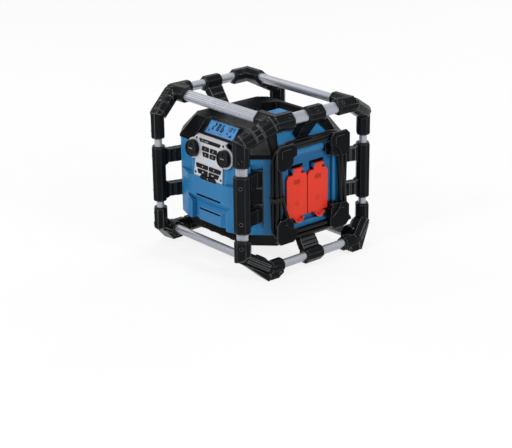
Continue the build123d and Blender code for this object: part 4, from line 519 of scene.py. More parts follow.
# ---- flat faces and solids ----------------------------------------------------------------------
@dataclass(frozen=True)
class Face:
    """A flat face of the object with coordinates of its own: level X, Y up the face and Z outward."""
    origin: Point
    across: Point
    outward: Point

    def matrix(self) -> Matrix:
        """Place of the face.

        Returns:
            Matrix from the face's coordinates to the model's.
        """
        x_axis = Vector(self.across).normalized()
        z_axis = Vector(self.outward).normalized()
        matrix = Matrix((x_axis, z_axis.cross(x_axis), z_axis)).transposed().to_4x4()
        matrix.translation = Vector(self.origin)
        return matrix


def circle(radius: float, count: int, centre: Flat = (0.0, 0.0), start: float = 0.0) -> list[Flat]:
    """Points evenly spaced on a circle."""
    angles = (start + 2 * math.pi * i / count for i in range(count))
    return [(centre[0] + radius * math.cos(a), centre[1] + radius * math.sin(a)) for a in angles]


def rectangle(x0: float, x1: float, y0: float, y1: float) -> list[Flat]:
    """Corners of a rectangle."""
    return [(x0, y0), (x1, y0), (x1, y1), (x0, y1)]


def linked(name: str, data: bpy.types.ID) -> bpy.types.Object:
    """Put a new object in the scene.

    Args:
        name: Its name.
        data: Its mesh, curve, lamp or camera.

    Returns:
        The object.
    """
    made = bpy.data.objects.new(name, data)
    bpy.context.scene.collection.objects.link(made)
    return made


def shaped(name: str, bm: bmesh.types.BMesh, sharp: float) -> bpy.types.Object:
    """Make a smooth object of a mesh in the making.

    Args:
        name: Name of the object and its mesh.
        bm: The mesh in the making, which is used up.
        sharp: Turn of the surface, in degrees, from which an edge is shaded sharp.

    Returns:
        The object.
    """
    mesh = bpy.data.meshes.new(name)
    bm.to_mesh(mesh)
    bm.free()
    mesh.shade_smooth()
    mesh.set_sharp_from_angle(angle=math.radians(sharp))
    return linked(name, mesh)


def fitted(piece: bpy.types.Object, finish: str, slot: str, body: str) -> None:
    """Give a piece its material, and let it ride on a body.

    Args:
        piece: The piece.
        finish: Name of the finish.
        slot: The record's material slot; not used.
        body: The body.
    """
    piece.data.materials.append(material(finish))
    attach(piece, body)
    log.info("piece %s on %s", piece.name, body)


class Former:
    """Collects the solids of one piece and turns them into an object."""

    def __init__(self, name: str) -> None:
        """Start an empty piece."""
        self.name = name
        self.bm = bmesh.new()

    def ring(self, matrix: Matrix, points: Sequence[Flat], height: float) -> list[bmesh.types.BMVert]:
        """One ring of vertices at a height over a face."""
        return [self.bm.verts.new(matrix @ Vector((x, y, height))) for x, y in points]

    def wall(self, low: Sequence[bmesh.types.BMVert], high: Sequence[bmesh.types.BMVert]) -> None:
        """Faces between two rings of vertices.

        Args:
            low: The first ring.
            high: The second ring, of as many vertices.
        """
        count = len(low)
        for i in range(count):
            j = (i + 1) % count
            self.bm.faces.new((low[i], low[j], high[j], high[i]))

    def prism(self, face: Face, outline: Sequence[Flat], low: float, high: float,
              top: Optional[Sequence[Flat]] = None) -> None:
        """Closed solid over an outline of a face.

        Args:
            face: The face that the outline is drawn on.
            outline: The lower outline.
            low: Its height over the face.
            high: Height of the upper outline.
            top: The upper outline, if it differs.
        """
        matrix = face.matrix()
        lower = self.ring(matrix, outline, low)
        upper = self.ring(matrix, outline if top is None else top, high)
        self.bm.faces.new(list(reversed(lower)))
        self.bm.faces.new(upper)
        self.wall(lower, upper)

    def hoop(self, face: Face, centre: Flat, radii: Flat, low: float, high: float, count: int = 20) -> None:
        """Flat ring standing on a face.

        Args:
            face: The face that it stands on.
            centre: Its middle.
            radii: Inner and outer radius.
            low: Height of its lower side.
            high: Height of its upper side.
            count: Vertices round it.
        """
        matrix = face.matrix()
        inner, outer = (circle(radius, count, centre) for radius in radii)
        rings = [self.ring(matrix, points, height) for points, height in
                 ((inner, low), (outer, low), (outer, high), (inner, high))]
        for first, second in zip(rings, rings[1:] + rings[:1]):
            self.wall(first, second)

    def done(self, finish: str, slot: str, body: str = ROOT, bevel: float = 0.0,
             sharp: float = 35.0) -> bpy.types.Object:
        """Finish the piece: an object with its material, riding on a body.

        Args:
            finish: Name of the finish.
            slot: The record's material slot; not used.
            body: The body that it rides on.
            bevel: Width of the bevel along its sharp edges.
            sharp: Angle from which an edge is shaded sharp.

        Returns:
            The new object.
        """
        bmesh.ops.recalc_face_normals(self.bm, faces=self.bm.faces)
        piece = shaped(self.name, self.bm, sharp)
        if bevel:
            modifier = piece.modifiers.new("edges", "BEVEL")
            modifier.width = bevel
            modifier.segments = 2
            modifier.limit_method = "ANGLE"
            modifier.angle_limit = math.radians(sharp)
            modifier.harden_normals = True
        fitted(piece, finish, slot, body)
        return piece


def islands(node: str) -> Iterator[list[Vector]]:
    """Vertices of each separate solid of a CAD node.

    Args:
        node: Name of the node.

    Yields:
        The vertices of one solid, without doubles.
    """
    bm = bmesh.new()
    bm.from_mesh(frame["nodes"][node].data)
    bmesh.ops.remove_doubles(bm, verts=bm.verts, dist=WELD)
    left = set(bm.verts)
    while left:
        found, todo = [], [min(left, key=lambda v: v.index)]
        left.discard(todo[0])
        while todo:
            here = todo.pop()
            found.append(here.co.copy())
            for edge in here.link_edges:
                other = edge.other_vert(here)
                if other in left:
                    left.discard(other)
                    todo.append(other)
        yield found
    bm.free()


@dataclass(frozen=True)
class Rounding:
    """Rounding of the long outer edges of a moulding, where no fine detail lies at their ends."""
    width: float = 0.9 * MM
    angle: float = 30.0  # least turn of the surface at an edge that is rounded
    steepest: float = 130.0  # most turn of the surface at such an edge
    clear: float = 2.2  # length of the shortest edge at a rounded edge's ends, as a share of the width
    kept: float = 2.0  # how near to a place that stays sharp an edge isn't rounded, as a share of the width
    segments: int = 2
    tries: int = 6
    flat: float = 0.3  # turn of the surface under which two faces are one
    sharp: float = 38.0  # turn of the surface from which an edge is shaded sharp

    def edges(self, bm: bmesh.types.BMesh, kept_off: Sequence[Vector]) -> list[bmesh.types.BMEdge]:
        """The edges that can be rounded.

        Args:
            bm: The welded mesh.
            kept_off: Places that stay sharp, because a rounding there would cross another edge.

        Returns:
            The edges.
        """
        low, high, least = math.radians(self.angle), math.radians(self.steepest), self.clear * self.width
        found = [edge for edge in bm.edges if edge.is_manifold and edge.is_convex
                 and low < edge.calc_face_angle(0.0) < high
                 and all(other.calc_length() > least for vert in edge.verts for other in vert.link_edges)]
        return [edge for edge in found if not any(self.near(edge, place) for place in kept_off)]

    def near(self, edge: bmesh.types.BMEdge, place: Vector) -> bool:
        """Whether a place lies close to an edge.

        Args:
            edge: The edge.
            place: The place.

        Returns:
            True if it does.
        """
        start, end = (vert.co for vert in edge.verts)
        closest, share = intersect_point_line(place, start, end)
        if share < 0.0 or share > 1.0:
            closest = start if share < 0.0 else end
        return (closest - place).length < self.kept * self.width

    @staticmethod
    def crossings(bm: bmesh.types.BMesh) -> list[Vector]:
        """Find the triangles that lie the wrong way round in their face.

        Args:
            bm: The mesh.

        Returns:
            Their corners.
        """
        bm.normal_update()
        places = []
        for loops in bm.calc_loop_triangles():
            first, second, third = (loop.vert.co for loop in loops)
            turned = (second - first).cross(third - first)
            if turned.length > TINY and turned.normalized().dot(loops[0].face.normal) < ALIKE:
                places += [first.copy(), second.copy(), third.copy()]
        return places

    def rounded(self, source: bpy.types.Mesh) -> bmesh.types.BMesh:
        """Round a mesh's edges, but for the roundings that would cross another edge.

        Args:
            source: The mesh.

        Returns:
            The welded and rounded mesh.

        Raises:
            RuntimeError: If some roundings cross another edge after the last try.
        """
        kept_off: list[Vector] = []
        for _ in range(self.tries):
            bm = bmesh.new()
            bm.from_mesh(source)
            bmesh.ops.remove_doubles(bm, verts=bm.verts, dist=WELD)
            bmesh.ops.dissolve_limit(bm, angle_limit=math.radians(self.flat), verts=bm.verts, edges=bm.edges)
            bmesh.ops.bevel(bm, geom=self.edges(bm, kept_off), offset=self.width, offset_type="OFFSET",
                            segments=self.segments, profile=0.5, affect="EDGES", clamp_overlap=False)
            crossed = self.crossings(bm)
            if not crossed:
                return bm
            kept_off += crossed
            bm.free()
        raise RuntimeError(f"roundings of {source.name} still cross another edge after {self.tries} tries")

    def apply(self, node: str, body: str = ROOT) -> None:
        """Make a rounded copy of a CAD node that stands for it.

        Args:
            node: Name of the node.
            body: The body that it rides on.
        """
        piece = shaped(f"{node}_moulding", self.rounded(frame["nodes"][node].data), self.sharp)
        even = piece.modifiers.new("flat_faces", "WEIGHTED_NORMAL")
        even.keep_sharp = True
        fitted(piece, slot_of(node), slot_of(node), body)
        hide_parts(node)


def slot_of(node: str) -> str:
    """The record's material slot of a node."""
    return next(part["material_slot"] for part in frame["record"]["subparts"] if part["node"] == node)


def dress(*nodes: str, finish: Optional[str] = None) -> None:
    """Give CAD nodes their material.

    Args:
        nodes: Names of the nodes.
        finish: Name of their finish, if it isn't that of their slot.
    """
    for node in nodes:
        materials = frame["nodes"][node].data.materials
        materials.clear()
        materials.append(material(finish or slot_of(node)))


# ---- studio -------------------------------------------------------------------------------------
@dataclass
class Lamp:
    """Soft square lamp that looks at the object."""
    name: str
    place: Point
    size: float
    power: float

    def light(self, target: Point) -> None:
        """Set up the lamp.

        Args:
            target: The point that it is aimed at.
        """
        data = bpy.data.lights.new(self.name, "AREA")
        data.size = self.size
        data.energy = self.power
        lamp = linked(self.name, data)
        lamp.location = self.place
        lamp.rotation_euler = (Vector(target) - Vector(self.place)).to_track_quat("-Z", "Y").to_euler()


@dataclass
class Studio:
    """Camera, lamps, floor and white surroundings."""
    azimuth: float = 49.56
    elevation: float = 20.66
    roll: float = -0.71
    camera_place: Point = (2.398, -2.061, 1.2385)
    lens: float = 102.7
    sensor: float = 36.0
    clip: Flat = (0.05, 60.0)
    middle: Point = (0.0, 0.0, 0.17)
    floor_half: float = 9.0
    floor_drop: float = 0.2 * MM  # keeps the floor clear of the feet that stand on it
    floor_colours: tuple[Colour, Colour] = ((0.86, 0.86, 0.87, 1.0), (0.88, 0.88, 0.88, 1.0))
    floor_glow: float = 0.84  # share of white that the camera and reflections see on the floor
    sky: Colour = (0.97, 0.98, 1.0, 1.0)
    surroundings: float = 0.36  # strength of the sky
    lamps: list[Lamp] = field(default_factory=lambda: [
        Lamp("key_lamp", (0.2, -3.2, 2.6), size=0.6, power=60.0),
        Lamp("side_lamp", (3.4, 0.4, 2.0), size=0.5, power=54.0),
        Lamp("top_lamp", (-0.6, 0.8, 3.4), size=1.0, power=26.0),
        Lamp("left_lamp", (-3.2, -0.6, 1.8), size=1.4, power=26.0),
        Lamp("rear_lamp", (-0.8, 3.4, 2.0), size=1.6, power=30.0),
    ])

    def build(self) -> None:
        """Set up everything that isn't part of the object."""
        self.camera()
        for lamp in self.lamps:
            lamp.light(self.middle)
        self.floor()
        self.world()
        bpy.context.scene.view_settings.view_transform = "Standard"

    def camera(self) -> None:
        """Place the camera at its azimuth, elevation and roll."""
        azimuth, elevation, roll = (math.radians(a) for a in (self.azimuth, self.elevation, self.roll))
        back = Vector((math.sin(azimuth) * math.cos(elevation), -math.cos(azimuth) * math.cos(elevation),
                       math.sin(elevation)))
        level = Vector((math.cos(azimuth), math.sin(azimuth), 0.0))
        upright = back.cross(level)
        right = math.cos(roll) * level + math.sin(roll) * upright
        up = math.cos(roll) * upright - math.sin(roll) * level
        data = bpy.data.cameras.new("camera")
        data.lens = self.lens
        data.sensor_width = self.sensor
        data.clip_start, data.clip_end = self.clip
        camera = linked("camera", data)
        matrix = Matrix((right, up, back)).transposed().to_4x4()
        matrix.translation = Vector(self.camera_place)
        camera.matrix_world = matrix
        bpy.context.scene.camera = camera

    def floor(self) -> None:
        """Pale floor that keeps a soft shadow."""
        graph = Graph("pale_floor")
        mottled = graph.mixed(graph.patches(MOTTLE), *self.floor_colours)
        graph.set(Base_Color=mottled, Roughness=0.9, Specular_IOR_Level=0.1)
        glow = graph.add("ShaderNodeEmission", Color=WHITE, Strength=1.0)
        share = graph.ranged(graph.seen_by("Camera", "Glossy"), 0.0, 1.0, 0.0, self.floor_glow)
        graph.feed(graph.output, Surface=graph.blended(share, graph.shader.outputs[0], glow.outputs[0]))
        mesh = bpy.data.meshes.new("floor")
        corners = [(x, y, -self.floor_drop) for x, y in rectangle(*(-self.floor_half, self.floor_half) * 2)]
        mesh.from_pydata(corners, [], [(0, 1, 2, 3)])
        mesh.materials.append(graph.material)
        linked("floor", mesh)

    def world(self) -> None:
        """White surroundings for the camera and for reflections, and plain soft light for the rest."""
        world = bpy.data.worlds.new("surroundings")
        bpy.context.scene.world = world
        world.use_nodes = True
        nodes = Nodes(world.node_tree)
        white, soft = (nodes.add("ShaderNodeBackground", Color=colour, Strength=strength).outputs[0]
                       for colour, strength in ((WHITE, 1.0), (self.sky, self.surroundings)))
        seen = nodes.seen_by("Camera", "Glossy", "Transmission")
        nodes.add("ShaderNodeOutputWorld", Surface=nodes.blended(seen, soft, white))


# ---- roll cage ----------------------------------------------------------------------------------
@dataclass
class RollCage:
    """Bars, elbows, sleeves and clamps of the cage, and the screws that hold them."""
    rounding: Rounding = Rounding(1.0 * MM)
    lobes: int = 6  # of a screw's recess
    lobe_points: int = 8  # vertices from one of them to the next
    lobe_depth: float = 0.16  # share by which they stand out from its middle radius
    recess_share: float = 0.52  # radius of a screw's recess, as a share of its head
    recess_depth: float = 1.1 * MM
    recess_taper: float = 0.92  # size of its floor, as a share of its mouth
    rim_share: float = 0.8  # reach of the vertices that count as a head's rim, as a share of the farthest
    head_bevel: float = 0.35 * MM

    def build(self) -> None:
        """Dress the cage."""
        for node, axis in (("post_tubes", Axis.Z), ("side_bars", Axis.Y), ("cross_bars", Axis.X)):
            dress(node, finish=f"bar_along_{axis.name}")
        for corner in Corner:
            for kind in ("top_elbow", "bottom_elbow", "post_sleeve"):
                self.rounding.apply(f"{kind}_{corner.value}")
        for node in ("top_clamps", "bottom_clamps"):
            self.rounding.apply(node)
        self.screws()

    def screws(self) -> None:
        """Screw heads with a star-shaped recess, one for each plain head of the model."""
        former = Former("star_screws")
        for points in islands("case_screws"):
            self.screw(former, *self.screw_seat(points))
        piece = former.done("screw_steel", "screw_steel", sharp=40.0)
        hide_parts("case_screws")

    def screw_seat(self, points: Sequence[Vector]) -> tuple[Face, float, float]:
        """Seat of a screw head, whose normal is the best of some directions near the plain head's axis.

        Args:
            points: Vertices of the plain head.

        Returns:
            The face of its top, its radius and its height.
        """
        centre = sum(points, Vector()) / len(points)
        reach = max((p - centre).length for p in points)
        rim = [p for p in points if (p - centre).length > self.rim_share * reach]
        first = rim[0] - centre
        normals = [first.cross(p - centre) for p in rim]
        best = self.thinnest(points, centre, normals)
        away = Vector((centre.x, centre.y, centre.z - SLEEVE_MIDDLE))
        normal = best if best.dot(away) > 0 else -best
        heights = [(p - centre).dot(normal) for p in points]
        radius = max(((p - centre) - normal * (p - centre).dot(normal)).length for p in points)
        top = centre + normal * max(heights)
        across = normal.orthogonal().normalized()
        return Face(tuple(top), tuple(across), tuple(normal)), radius, max(heights) - min(heights)

    @staticmethod
    def thinnest(points: Sequence[Vector], centre: Vector, normals: Sequence[Vector]) -> Vector:
        """Find the direction along which a set of points is thinnest.

        Args:
            points: The points.
            centre: Their middle.
            normals: The directions to choose from, of any length.

        Returns:
            The direction, one long.
        """
        best, least = Vector((0, 0, 1)), math.inf
        for normal in normals:
            if normal.length < TINY:
                continue
            unit = normal.normalized()
            reach = max(abs((p - centre).dot(unit)) for p in points)
            if reach < least:
                best, least = unit, reach
        return best

    def screw(self, former: Former, face: Face, radius: float, high: float) -> None:
        """Form one screw head.

        Args:
            former: The piece that it belongs to.
            face: The face that its top lies on.
            radius: Its radius.
            high: Its height.
        """
        matrix = face.matrix()
        count = self.lobe_points * self.lobes
        inner = self.recess_share * radius
        star = []
        for i in range(count):
            angle = 2 * math.pi * i / count
            reach = inner * (1 + self.lobe_depth * math.cos(self.lobes * 2 * math.pi * i / count))
            star.append((reach * math.cos(angle), reach * math.sin(angle)))
        foot = former.ring(matrix, circle(radius, count), -high)
        shoulder = former.ring(matrix, circle(radius, count), -self.head_bevel)
        top = former.ring(matrix, circle(radius - self.head_bevel, count), 0.0)
        mouth = former.ring(matrix, star, 0.0)
        tapered = [(self.recess_taper * x, self.recess_taper * y) for x, y in star]
        floor = former.ring(matrix, tapered, -self.recess_depth)
        former.bm.faces.new(list(reversed(foot)))
        for low, high_ring in ((foot, shoulder), (shoulder, top), (top, mouth), (mouth, floor)):
            former.wall(low, high_ring)
        former.bm.faces.new(floor)


# ---- casing -------------------------------------------------------------------------------------
@dataclass
class Casing:
    """Shell, base, cover and what is set into them."""
    rounding: Rounding = Rounding(0.8 * MM)
    hole_pitch: float = 3.1 * MM
    hole_radius: float = 0.95 * MM
    plate_edge: float = 2.4 * MM  # unpierced edge of a grille
    plate_thick: float = 1.6 * MM
    plate_top: float = 0.5 * MM  # depth within which a vertex lies on a plate's top
    plate_weld: float = 0.005 * MM  # vertices of a pierced plate nearer than this are one
    ports: tuple[tuple[float, float, float, float], ...] = (  # half width, height, face and opening of each
        (42.0 * MM, -29.0 * MM, -156.0 * MM, 5.0 * MM), (37.0 * MM, -62.0 * MM, -152.5 * MM, 4.6 * MM))
    port_gap: float = 0.3 * MM
    gauze: Flat = (-8.6 * MM, -2.0 * MM)  # back and front of the gauze, from a port's face
    slat_front: float = -0.8 * MM
    slat_half: float = 0.4 * MM
    slat_pitch: float = 4.0 * MM

    def build(self) -> None:
        """Dress the casing."""
        for node in ("housing_shell", "front_fascia", "base_tray", "top_cover", "utility_block"):
            self.rounding.apply(node)
        self.rounding.apply("battery_door", "battery_door")
        dress("slope_fascias")
        # the outlet panel takes a darker blue, painted shade of its recess
        dress("outlet_panel", finish="recess_blue")
        self.grilles()
        self.gauzes()

    def gauzes(self) -> None:
        """Dark slatted gauze in the two ports of the front, near black partly as painted shade of the
        openings.
        """
        former = Former("port_gauzes")
        for half, middle, y, opening in self.ports:
            face = Face((0.0, y, SLEEVE_MIDDLE + middle), X_AXIS, (0.0, -1.0, 0.0))
            wide, tall = half - self.port_gap, opening / 2 - self.port_gap
            former.prism(face, rectangle(-wide, wide, -tall, tall), *self.gauze)
            slats = int(2 * half / self.slat_pitch) - 1
            for i in range(slats):
                x = (i - (slats - 1) / 2) * self.slat_pitch
                slat = rectangle(x - self.slat_half, x + self.slat_half, -tall, tall)
                former.prism(face, slat, self.gauze[1], self.slat_front)
        former.done("port_gauze", "grille_black")

    def grilles(self) -> None:
        """Perforated plates over the corner speakers."""
        former = Former("pierced_grilles")
        for points in islands("corner_grilles"):
            self.pierced(former, points)
        bmesh.ops.remove_doubles(former.bm, verts=former.bm.verts, dist=self.plate_weld)
        piece = former.done("grille_black", "grille_black", sharp=40.0)
        thick = piece.modifiers.new("thickness", "SOLIDIFY")
        thick.thickness = self.plate_thick
        thick.offset = -1.0
        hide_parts("corner_grilles")

    def pierced(self, former: Former, points: Sequence[Vector]) -> None:
        """Form one plate: six-sided cells with round holes, cut to the plate's outline.

        Args:
            former: The piece that it belongs to.
            points: Vertices of the plain plate.
        """
        centre = sum(points, Vector()) / len(points)
        normal = self.normal_of(points, Vector((centre.x, centre.y, 0.0)))
        top = max((p - centre).dot(normal) for p in points)
        matrix = Face(tuple(centre + normal * top), (-normal.y, normal.x, 0.0), tuple(normal)).matrix()
        inverse = matrix.inverted()
        flat = [inverse @ p for p in points]
        outline = self.hull([(p.x, p.y) for p in flat if p.z > -self.plate_top])
        inner = self.inset(outline, self.plate_edge)
        (low_x, high_x), (low_y, high_y) = ((min(values), max(values)) for values in zip(*outline))
        row_step = self.hole_pitch * math.sqrt(3) / 2
        for row in range(int((high_y - low_y) / row_step) + 2):
            for column in range(int((high_x - low_x) / self.hole_pitch) + 3):
                x = low_x + (column - 0.5 * (row % 2)) * self.hole_pitch
                self.cell(former, matrix, (x, low_y + row * row_step), outline, inner)

    @staticmethod
    def normal_of(points: Sequence[Vector], out: Vector) -> Vector:
        """Find the normal of a flat plate: that of the best plane through three of its corners.

        Args:
            points: Its corners.
            out: A direction on its outer side.

        Returns:
            The outward normal.
        """
        best, least = out, math.inf
        for a, b, c in combinations(points, 3):
            unit = (b - a).cross(c - a).normalized()
            heights = [p.dot(unit) for p in points]
            if unit.length and max(heights) - min(heights) < least:
                best, least = unit, max(heights) - min(heights)
        return best if best.dot(out) > 0 else -best

    @staticmethod
    def hull(points: Sequence[Flat]) -> list[Flat]:
        """Find the convex outline of some points.

        Args:
            points: The points.

        Returns:
            Its corners, anticlockwise.
        """
        ordered = sorted({(round(x, 6), round(y, 6)) for x, y in points})
        return [ordered[i] for i in convex_hull_2d(ordered)]

    @staticmethod
    def inset(outline: Sequence[Flat], by: float) -> list[tuple[Flat, Flat]]:
        """Move the edges of an outline inward.

        Args:
            outline: Its corners, anticlockwise.
            by: How far they move.

        Returns:
            For each edge a point on it, and its inward normal.
        """
        sides = []
        for (x0, y0), (x1, y1) in zip(outline, list(outline[1:]) + [outline[0]]):
            long = math.hypot(x1 - x0, y1 - y0)
            inward = (-(y1 - y0) / long, (x1 - x0) / long)
            sides.append(((x0 + inward[0] * by, y0 + inward[1] * by), inward))
        return sides

    @staticmethod
    def clipped(points: Sequence[Flat], sides: Sequence[tuple[Flat, Flat]]) -> list[Flat]:
        """Clip a convex outline.

        Args:
            points: Its corners.
            sides: A point and the inward normal of each side that it is clipped to.

        Returns:
            Corners of what lies inside them all.
        """
        kept = list(points)
        for (px, py), (nx, ny) in sides:
            result: list[Flat] = []
            for (x0, y0), (x1, y1) in zip(kept, kept[1:] + kept[:1]):
                d0, d1 = (x0 - px) * nx + (y0 - py) * ny, (x1 - px) * nx + (y1 - py) * ny
                if d0 >= 0:
                    result.append((x0, y0))
                if d0 * d1 < 0:
                    t = d0 / (d0 - d1)
                    result.append((x0 + t * (x1 - x0), y0 + t * (y1 - y0)))
            kept = result
            if len(kept) < 3:
                return []
        return kept

    def cell(self, former: Former, matrix: Matrix, centre: Flat, outline: Sequence[Flat],
             inner: Sequence[tuple[Flat, Flat]]) -> None:
        """Form one cell of a plate, with its hole unless it lies near the edge.

        Args:
            former: The piece that it belongs to.
            matrix: Matrix from the plate's coordinates to the model's.
            centre: Middle of the cell.
            outline: Corners of the plate.
            inner: Sides of the pierced part.
        """
        edge = circle(self.hole_pitch / math.sqrt(3), 6, centre, math.pi / 6)
        x, y = centre
        if any((x - px) * nx + (y - py) * ny <= self.hole_radius for (px, py), (nx, ny) in inner):
            points = self.clipped(edge, self.inset(outline, 0.0))
            if len(points) > 2:
                former.bm.faces.new(former.ring(matrix, points, 0.0))
            return
        corners = former.ring(matrix, edge, 0.0)
        hole = former.ring(matrix, circle(self.hole_radius, 12, centre, math.pi / 6), 0.0)
        for i in range(6):
            near = (hole[(2 * i + 2) % 12], hole[2 * i + 1], hole[2 * i])
            former.bm.faces.new((corners[i], corners[(i + 1) % 6], *near))


# ---- control panel ------------------------------------------------------------------------------
DIGIT_GAP = 1.5  # gap between two digits, as a share of a stroke's width
STROKE_GAP = 0.12  # and between two strokes of a digit
SEGMENTS = {  # lit strokes of each digit: top, upper left and right, middle, lower left and right, bottom
    "0": "1110111", "1": "0010010", "2": "1011101", "3": "1011011", "4": "0111010", "5": "1101011",
    "6": "1101111", "7": "1010010", "8": "1111111", "9": "1111011",
}


def strokes(digits: str, foot: Flat, size: Flat, thick: float, slant: float = 0.0) -> Iterator[list[Flat]]:
    """Outlines of the lit strokes of a number of seven-stroke digits.

    Args:
        digits: The digits.
        foot: Lower left corner of the first digit.
        size: Width and height of a digit.
        thick: Width of a stroke.
        slant: How far the digits lean, as a share of their height.

    Yields:
        The outline of one stroke.
    """
    x, y = foot
    wide, tall = size
    gap, half = STROKE_GAP * thick, tall / 2
    for i, digit in enumerate(digits):
        left = x + i * (wide + DIGIT_GAP * thick)
        right = left + wide
        outlines = [
            rectangle(left + thick, right - thick, y + tall - thick, y + tall),
            rectangle(left, left + thick, y + half + gap, y + tall - gap),
            rectangle(right - thick, right, y + half + gap, y + tall - gap),
            rectangle(left + thick, right - thick, y + half - thick / 2, y + half + thick / 2),
            rectangle(left, left + thick, y + gap, y + half - gap),
            rectangle(right - thick, right, y + gap, y + half - gap),
            rectangle(left + thick, right - thick, y, y + thick),
        ]
        for lit, outline in zip(SEGMENTS[digit], outlines):
            if lit == "1":
                yield [(px + slant * (py - y), py) for px, py in outline]


@dataclass
class ControlPanel:
    """Silver panel with its knobs and buttons, and the marks on them."""
    foot: Point = (0.0, -0.156, SLEEVE_MIDDLE + 0.010)
    lean: float = math.atan2(9.0, 92.0)  # its top lies farther back than its foot
    button_proud: float = 1.6 * MM
    knob_floor: float = 9.9 * MM  # height of the sunk middle of a knob over the panel
    print_thick: float = 0.12 * MM
    preset_places: tuple[Flat, ...] = (
        (-14.5 * MM, 71.0 * MM), (14.5 * MM, 71.0 * MM), (-13.0 * MM, 58.0 * MM), (13.0 * MM, 58.0 * MM))
    digit: Flat = (2.6 * MM, 4.4 * MM)
    digit_stroke: float = 0.9 * MM
    mode_high: Flat = (20.0 * MM, 29.8 * MM)  # middle of the sign on the right button of the upper row
    mode_low: Flat = (17.0 * MM, 17.0 * MM)  # and of the lower row
    mode_half: float = 1.9 * MM  # half height of these signs
    power_ring: Flat = (-24.0 * MM, 88.2 * MM)
    power_radii: Flat = (1.6 * MM, 2.3 * MM)
    power_bar: Flat = (-17.0 * MM, -4.0 * MM)  # its ends
    bar_half: float = 0.6 * MM
    tone_bar: Flat = (3.6 * MM, 8.2 * MM)  # its foot and its top
    tone_half: float = 0.7 * MM
    pointer: Flat = (6.5 * MM, 0.5 * MM)  # half length and half width of the line on a knob
    lamp_y: float = 45.5 * MM
    lamp_half: float = 5.0 * MM
    lamp_end: float = 1.5 * MM  # radius of its ends
    lamp_proud: float = 0.25 * MM
    knob_x: float = 55.0 * MM
    knob_y: float = 65.3 * MM
    screws: tuple[Flat, ...] = ((46.0 * MM, 90.5 * MM), (44.0 * MM, 13.0 * MM))  # the right-hand pair
    well: Flat = (1.9 * MM, 3.0 * MM)  # inner and outer radius of the dark ring round a screw, painted shade of its hole

    def face(self) -> Face:
        """The panel's leaning outer face."""
        return Face(self.foot, X_AXIS, (0.0, -math.cos(self.lean), math.sin(self.lean)))

    def build(self) -> None:
        """Dress the panel."""
        dress("control_panel", "switch_board", "volume_knob", "tuning_knob", "power_button", "tone_button")
        for i in range(1, 5):
            dress(f"preset_button_{i}", f"mode_button_{i}")
        self.presets()
        self.modes()
        self.power()
        self.stamp("tone_mark", "tone_button", rectangle(-self.tone_half, self.tone_half, *self.tone_bar))
        self.pointers()
        self.lamp()
        self.wells()

    def stamp(self, name: str, button: str, *outlines: Sequence[Flat]) -> None:
        """Print a mark on a button.

        Args:
            name: Name of the mark.
            button: Body of the button.
            outlines: Outlines of the mark on the panel's face.
        """
        former = Former(name)
        for outline in outlines:
            former.prism(self.face(), outline, self.button_proud, self.button_proud + self.print_thick)
        former.done("mark_grey", "button_black", button)

    def presets(self) -> None:
        """A digit on each preset button."""
        wide, tall = self.digit
        for i, (x, y) in enumerate(self.preset_places, start=1):
            lit = strokes(str(i), (x - wide / 2, y - tall / 2), self.digit, self.digit_stroke)
            self.stamp(f"preset_mark_{i}", f"preset_button_{i}", *lit)

    def modes(self) -> None:
        """A sign on each mode button: a triangle either way, a square and a bar."""
        half, (x_high, high), (x_low, low) = self.mode_half, self.mode_high, self.mode_low
        signs = (
            [(-x_high + half, high - half), (-x_high + half, high + half), (-x_high - half, high)],
            [(x_high - half, high - half), (x_high + half, high), (x_high - half, high + half)],
            rectangle(-x_low - half, -x_low + half, low - half, low + half),
            rectangle(x_low - 2 * half, x_low + 2 * half, low - half / 2, low + half / 2),
        )
        for i, sign in enumerate(signs, start=1):
            self.stamp(f"mode_mark_{i}", f"mode_button_{i}", sign)

    def power(self) -> None:
        """A ring and a bar on the power button."""
        low, high = self.button_proud, self.button_proud + self.print_thick
        y = self.power_ring[1]
        former = Former("power_mark")
        former.hoop(self.face(), self.power_ring, self.power_radii, low, high)
        former.prism(self.face(), rectangle(*self.power_bar, y - self.bar_half, y + self.bar_half), low, high)
        former.done("mark_grey", "button_black", "power_button")

    def pointers(self) -> None:
        """A level line on the face of each knob."""
        half, thin = self.pointer
        for knob, x in (("volume_knob", -self.knob_x), ("tuning_knob", self.knob_x)):
            former = Former(f"{knob}_line")
            former.prism(self.face(), rectangle(x - half, x + half, self.knob_y - thin, self.knob_y + thin),
                         self.knob_floor, self.knob_floor + self.print_thick)
            former.done("mark_grey", "knob_black", knob)

    def lamp(self) -> None:
        """Small lit window between the two groups of buttons."""
        arc = circle(self.lamp_end, 12)
        ends = [(self.lamp_half + x, y) for x, y in arc[:4] + arc[9:]]  # its right half
        outline = sorted(ends, key=lambda p: p[1]) + sorted(((-x, y) for x, y in ends), key=lambda p: -p[1])
        former = Former("ready_lamp")
        former.prism(self.face(), [(x, y + self.lamp_y) for x, y in outline], 0.0, self.lamp_proud)
        former.done("mark_blue", "display_blue")

    def wells(self) -> None:
        """Dark ring round each screw of the panel, painted shade of the hole it sits in."""
        former = Former("screw_wells")
        for x, y in self.screws:
            for side in (-x, x):
                former.hoop(self.face(), (side, y), self.well, 0.0, self.print_thick)
        former.done("port_gauze", "case_black")


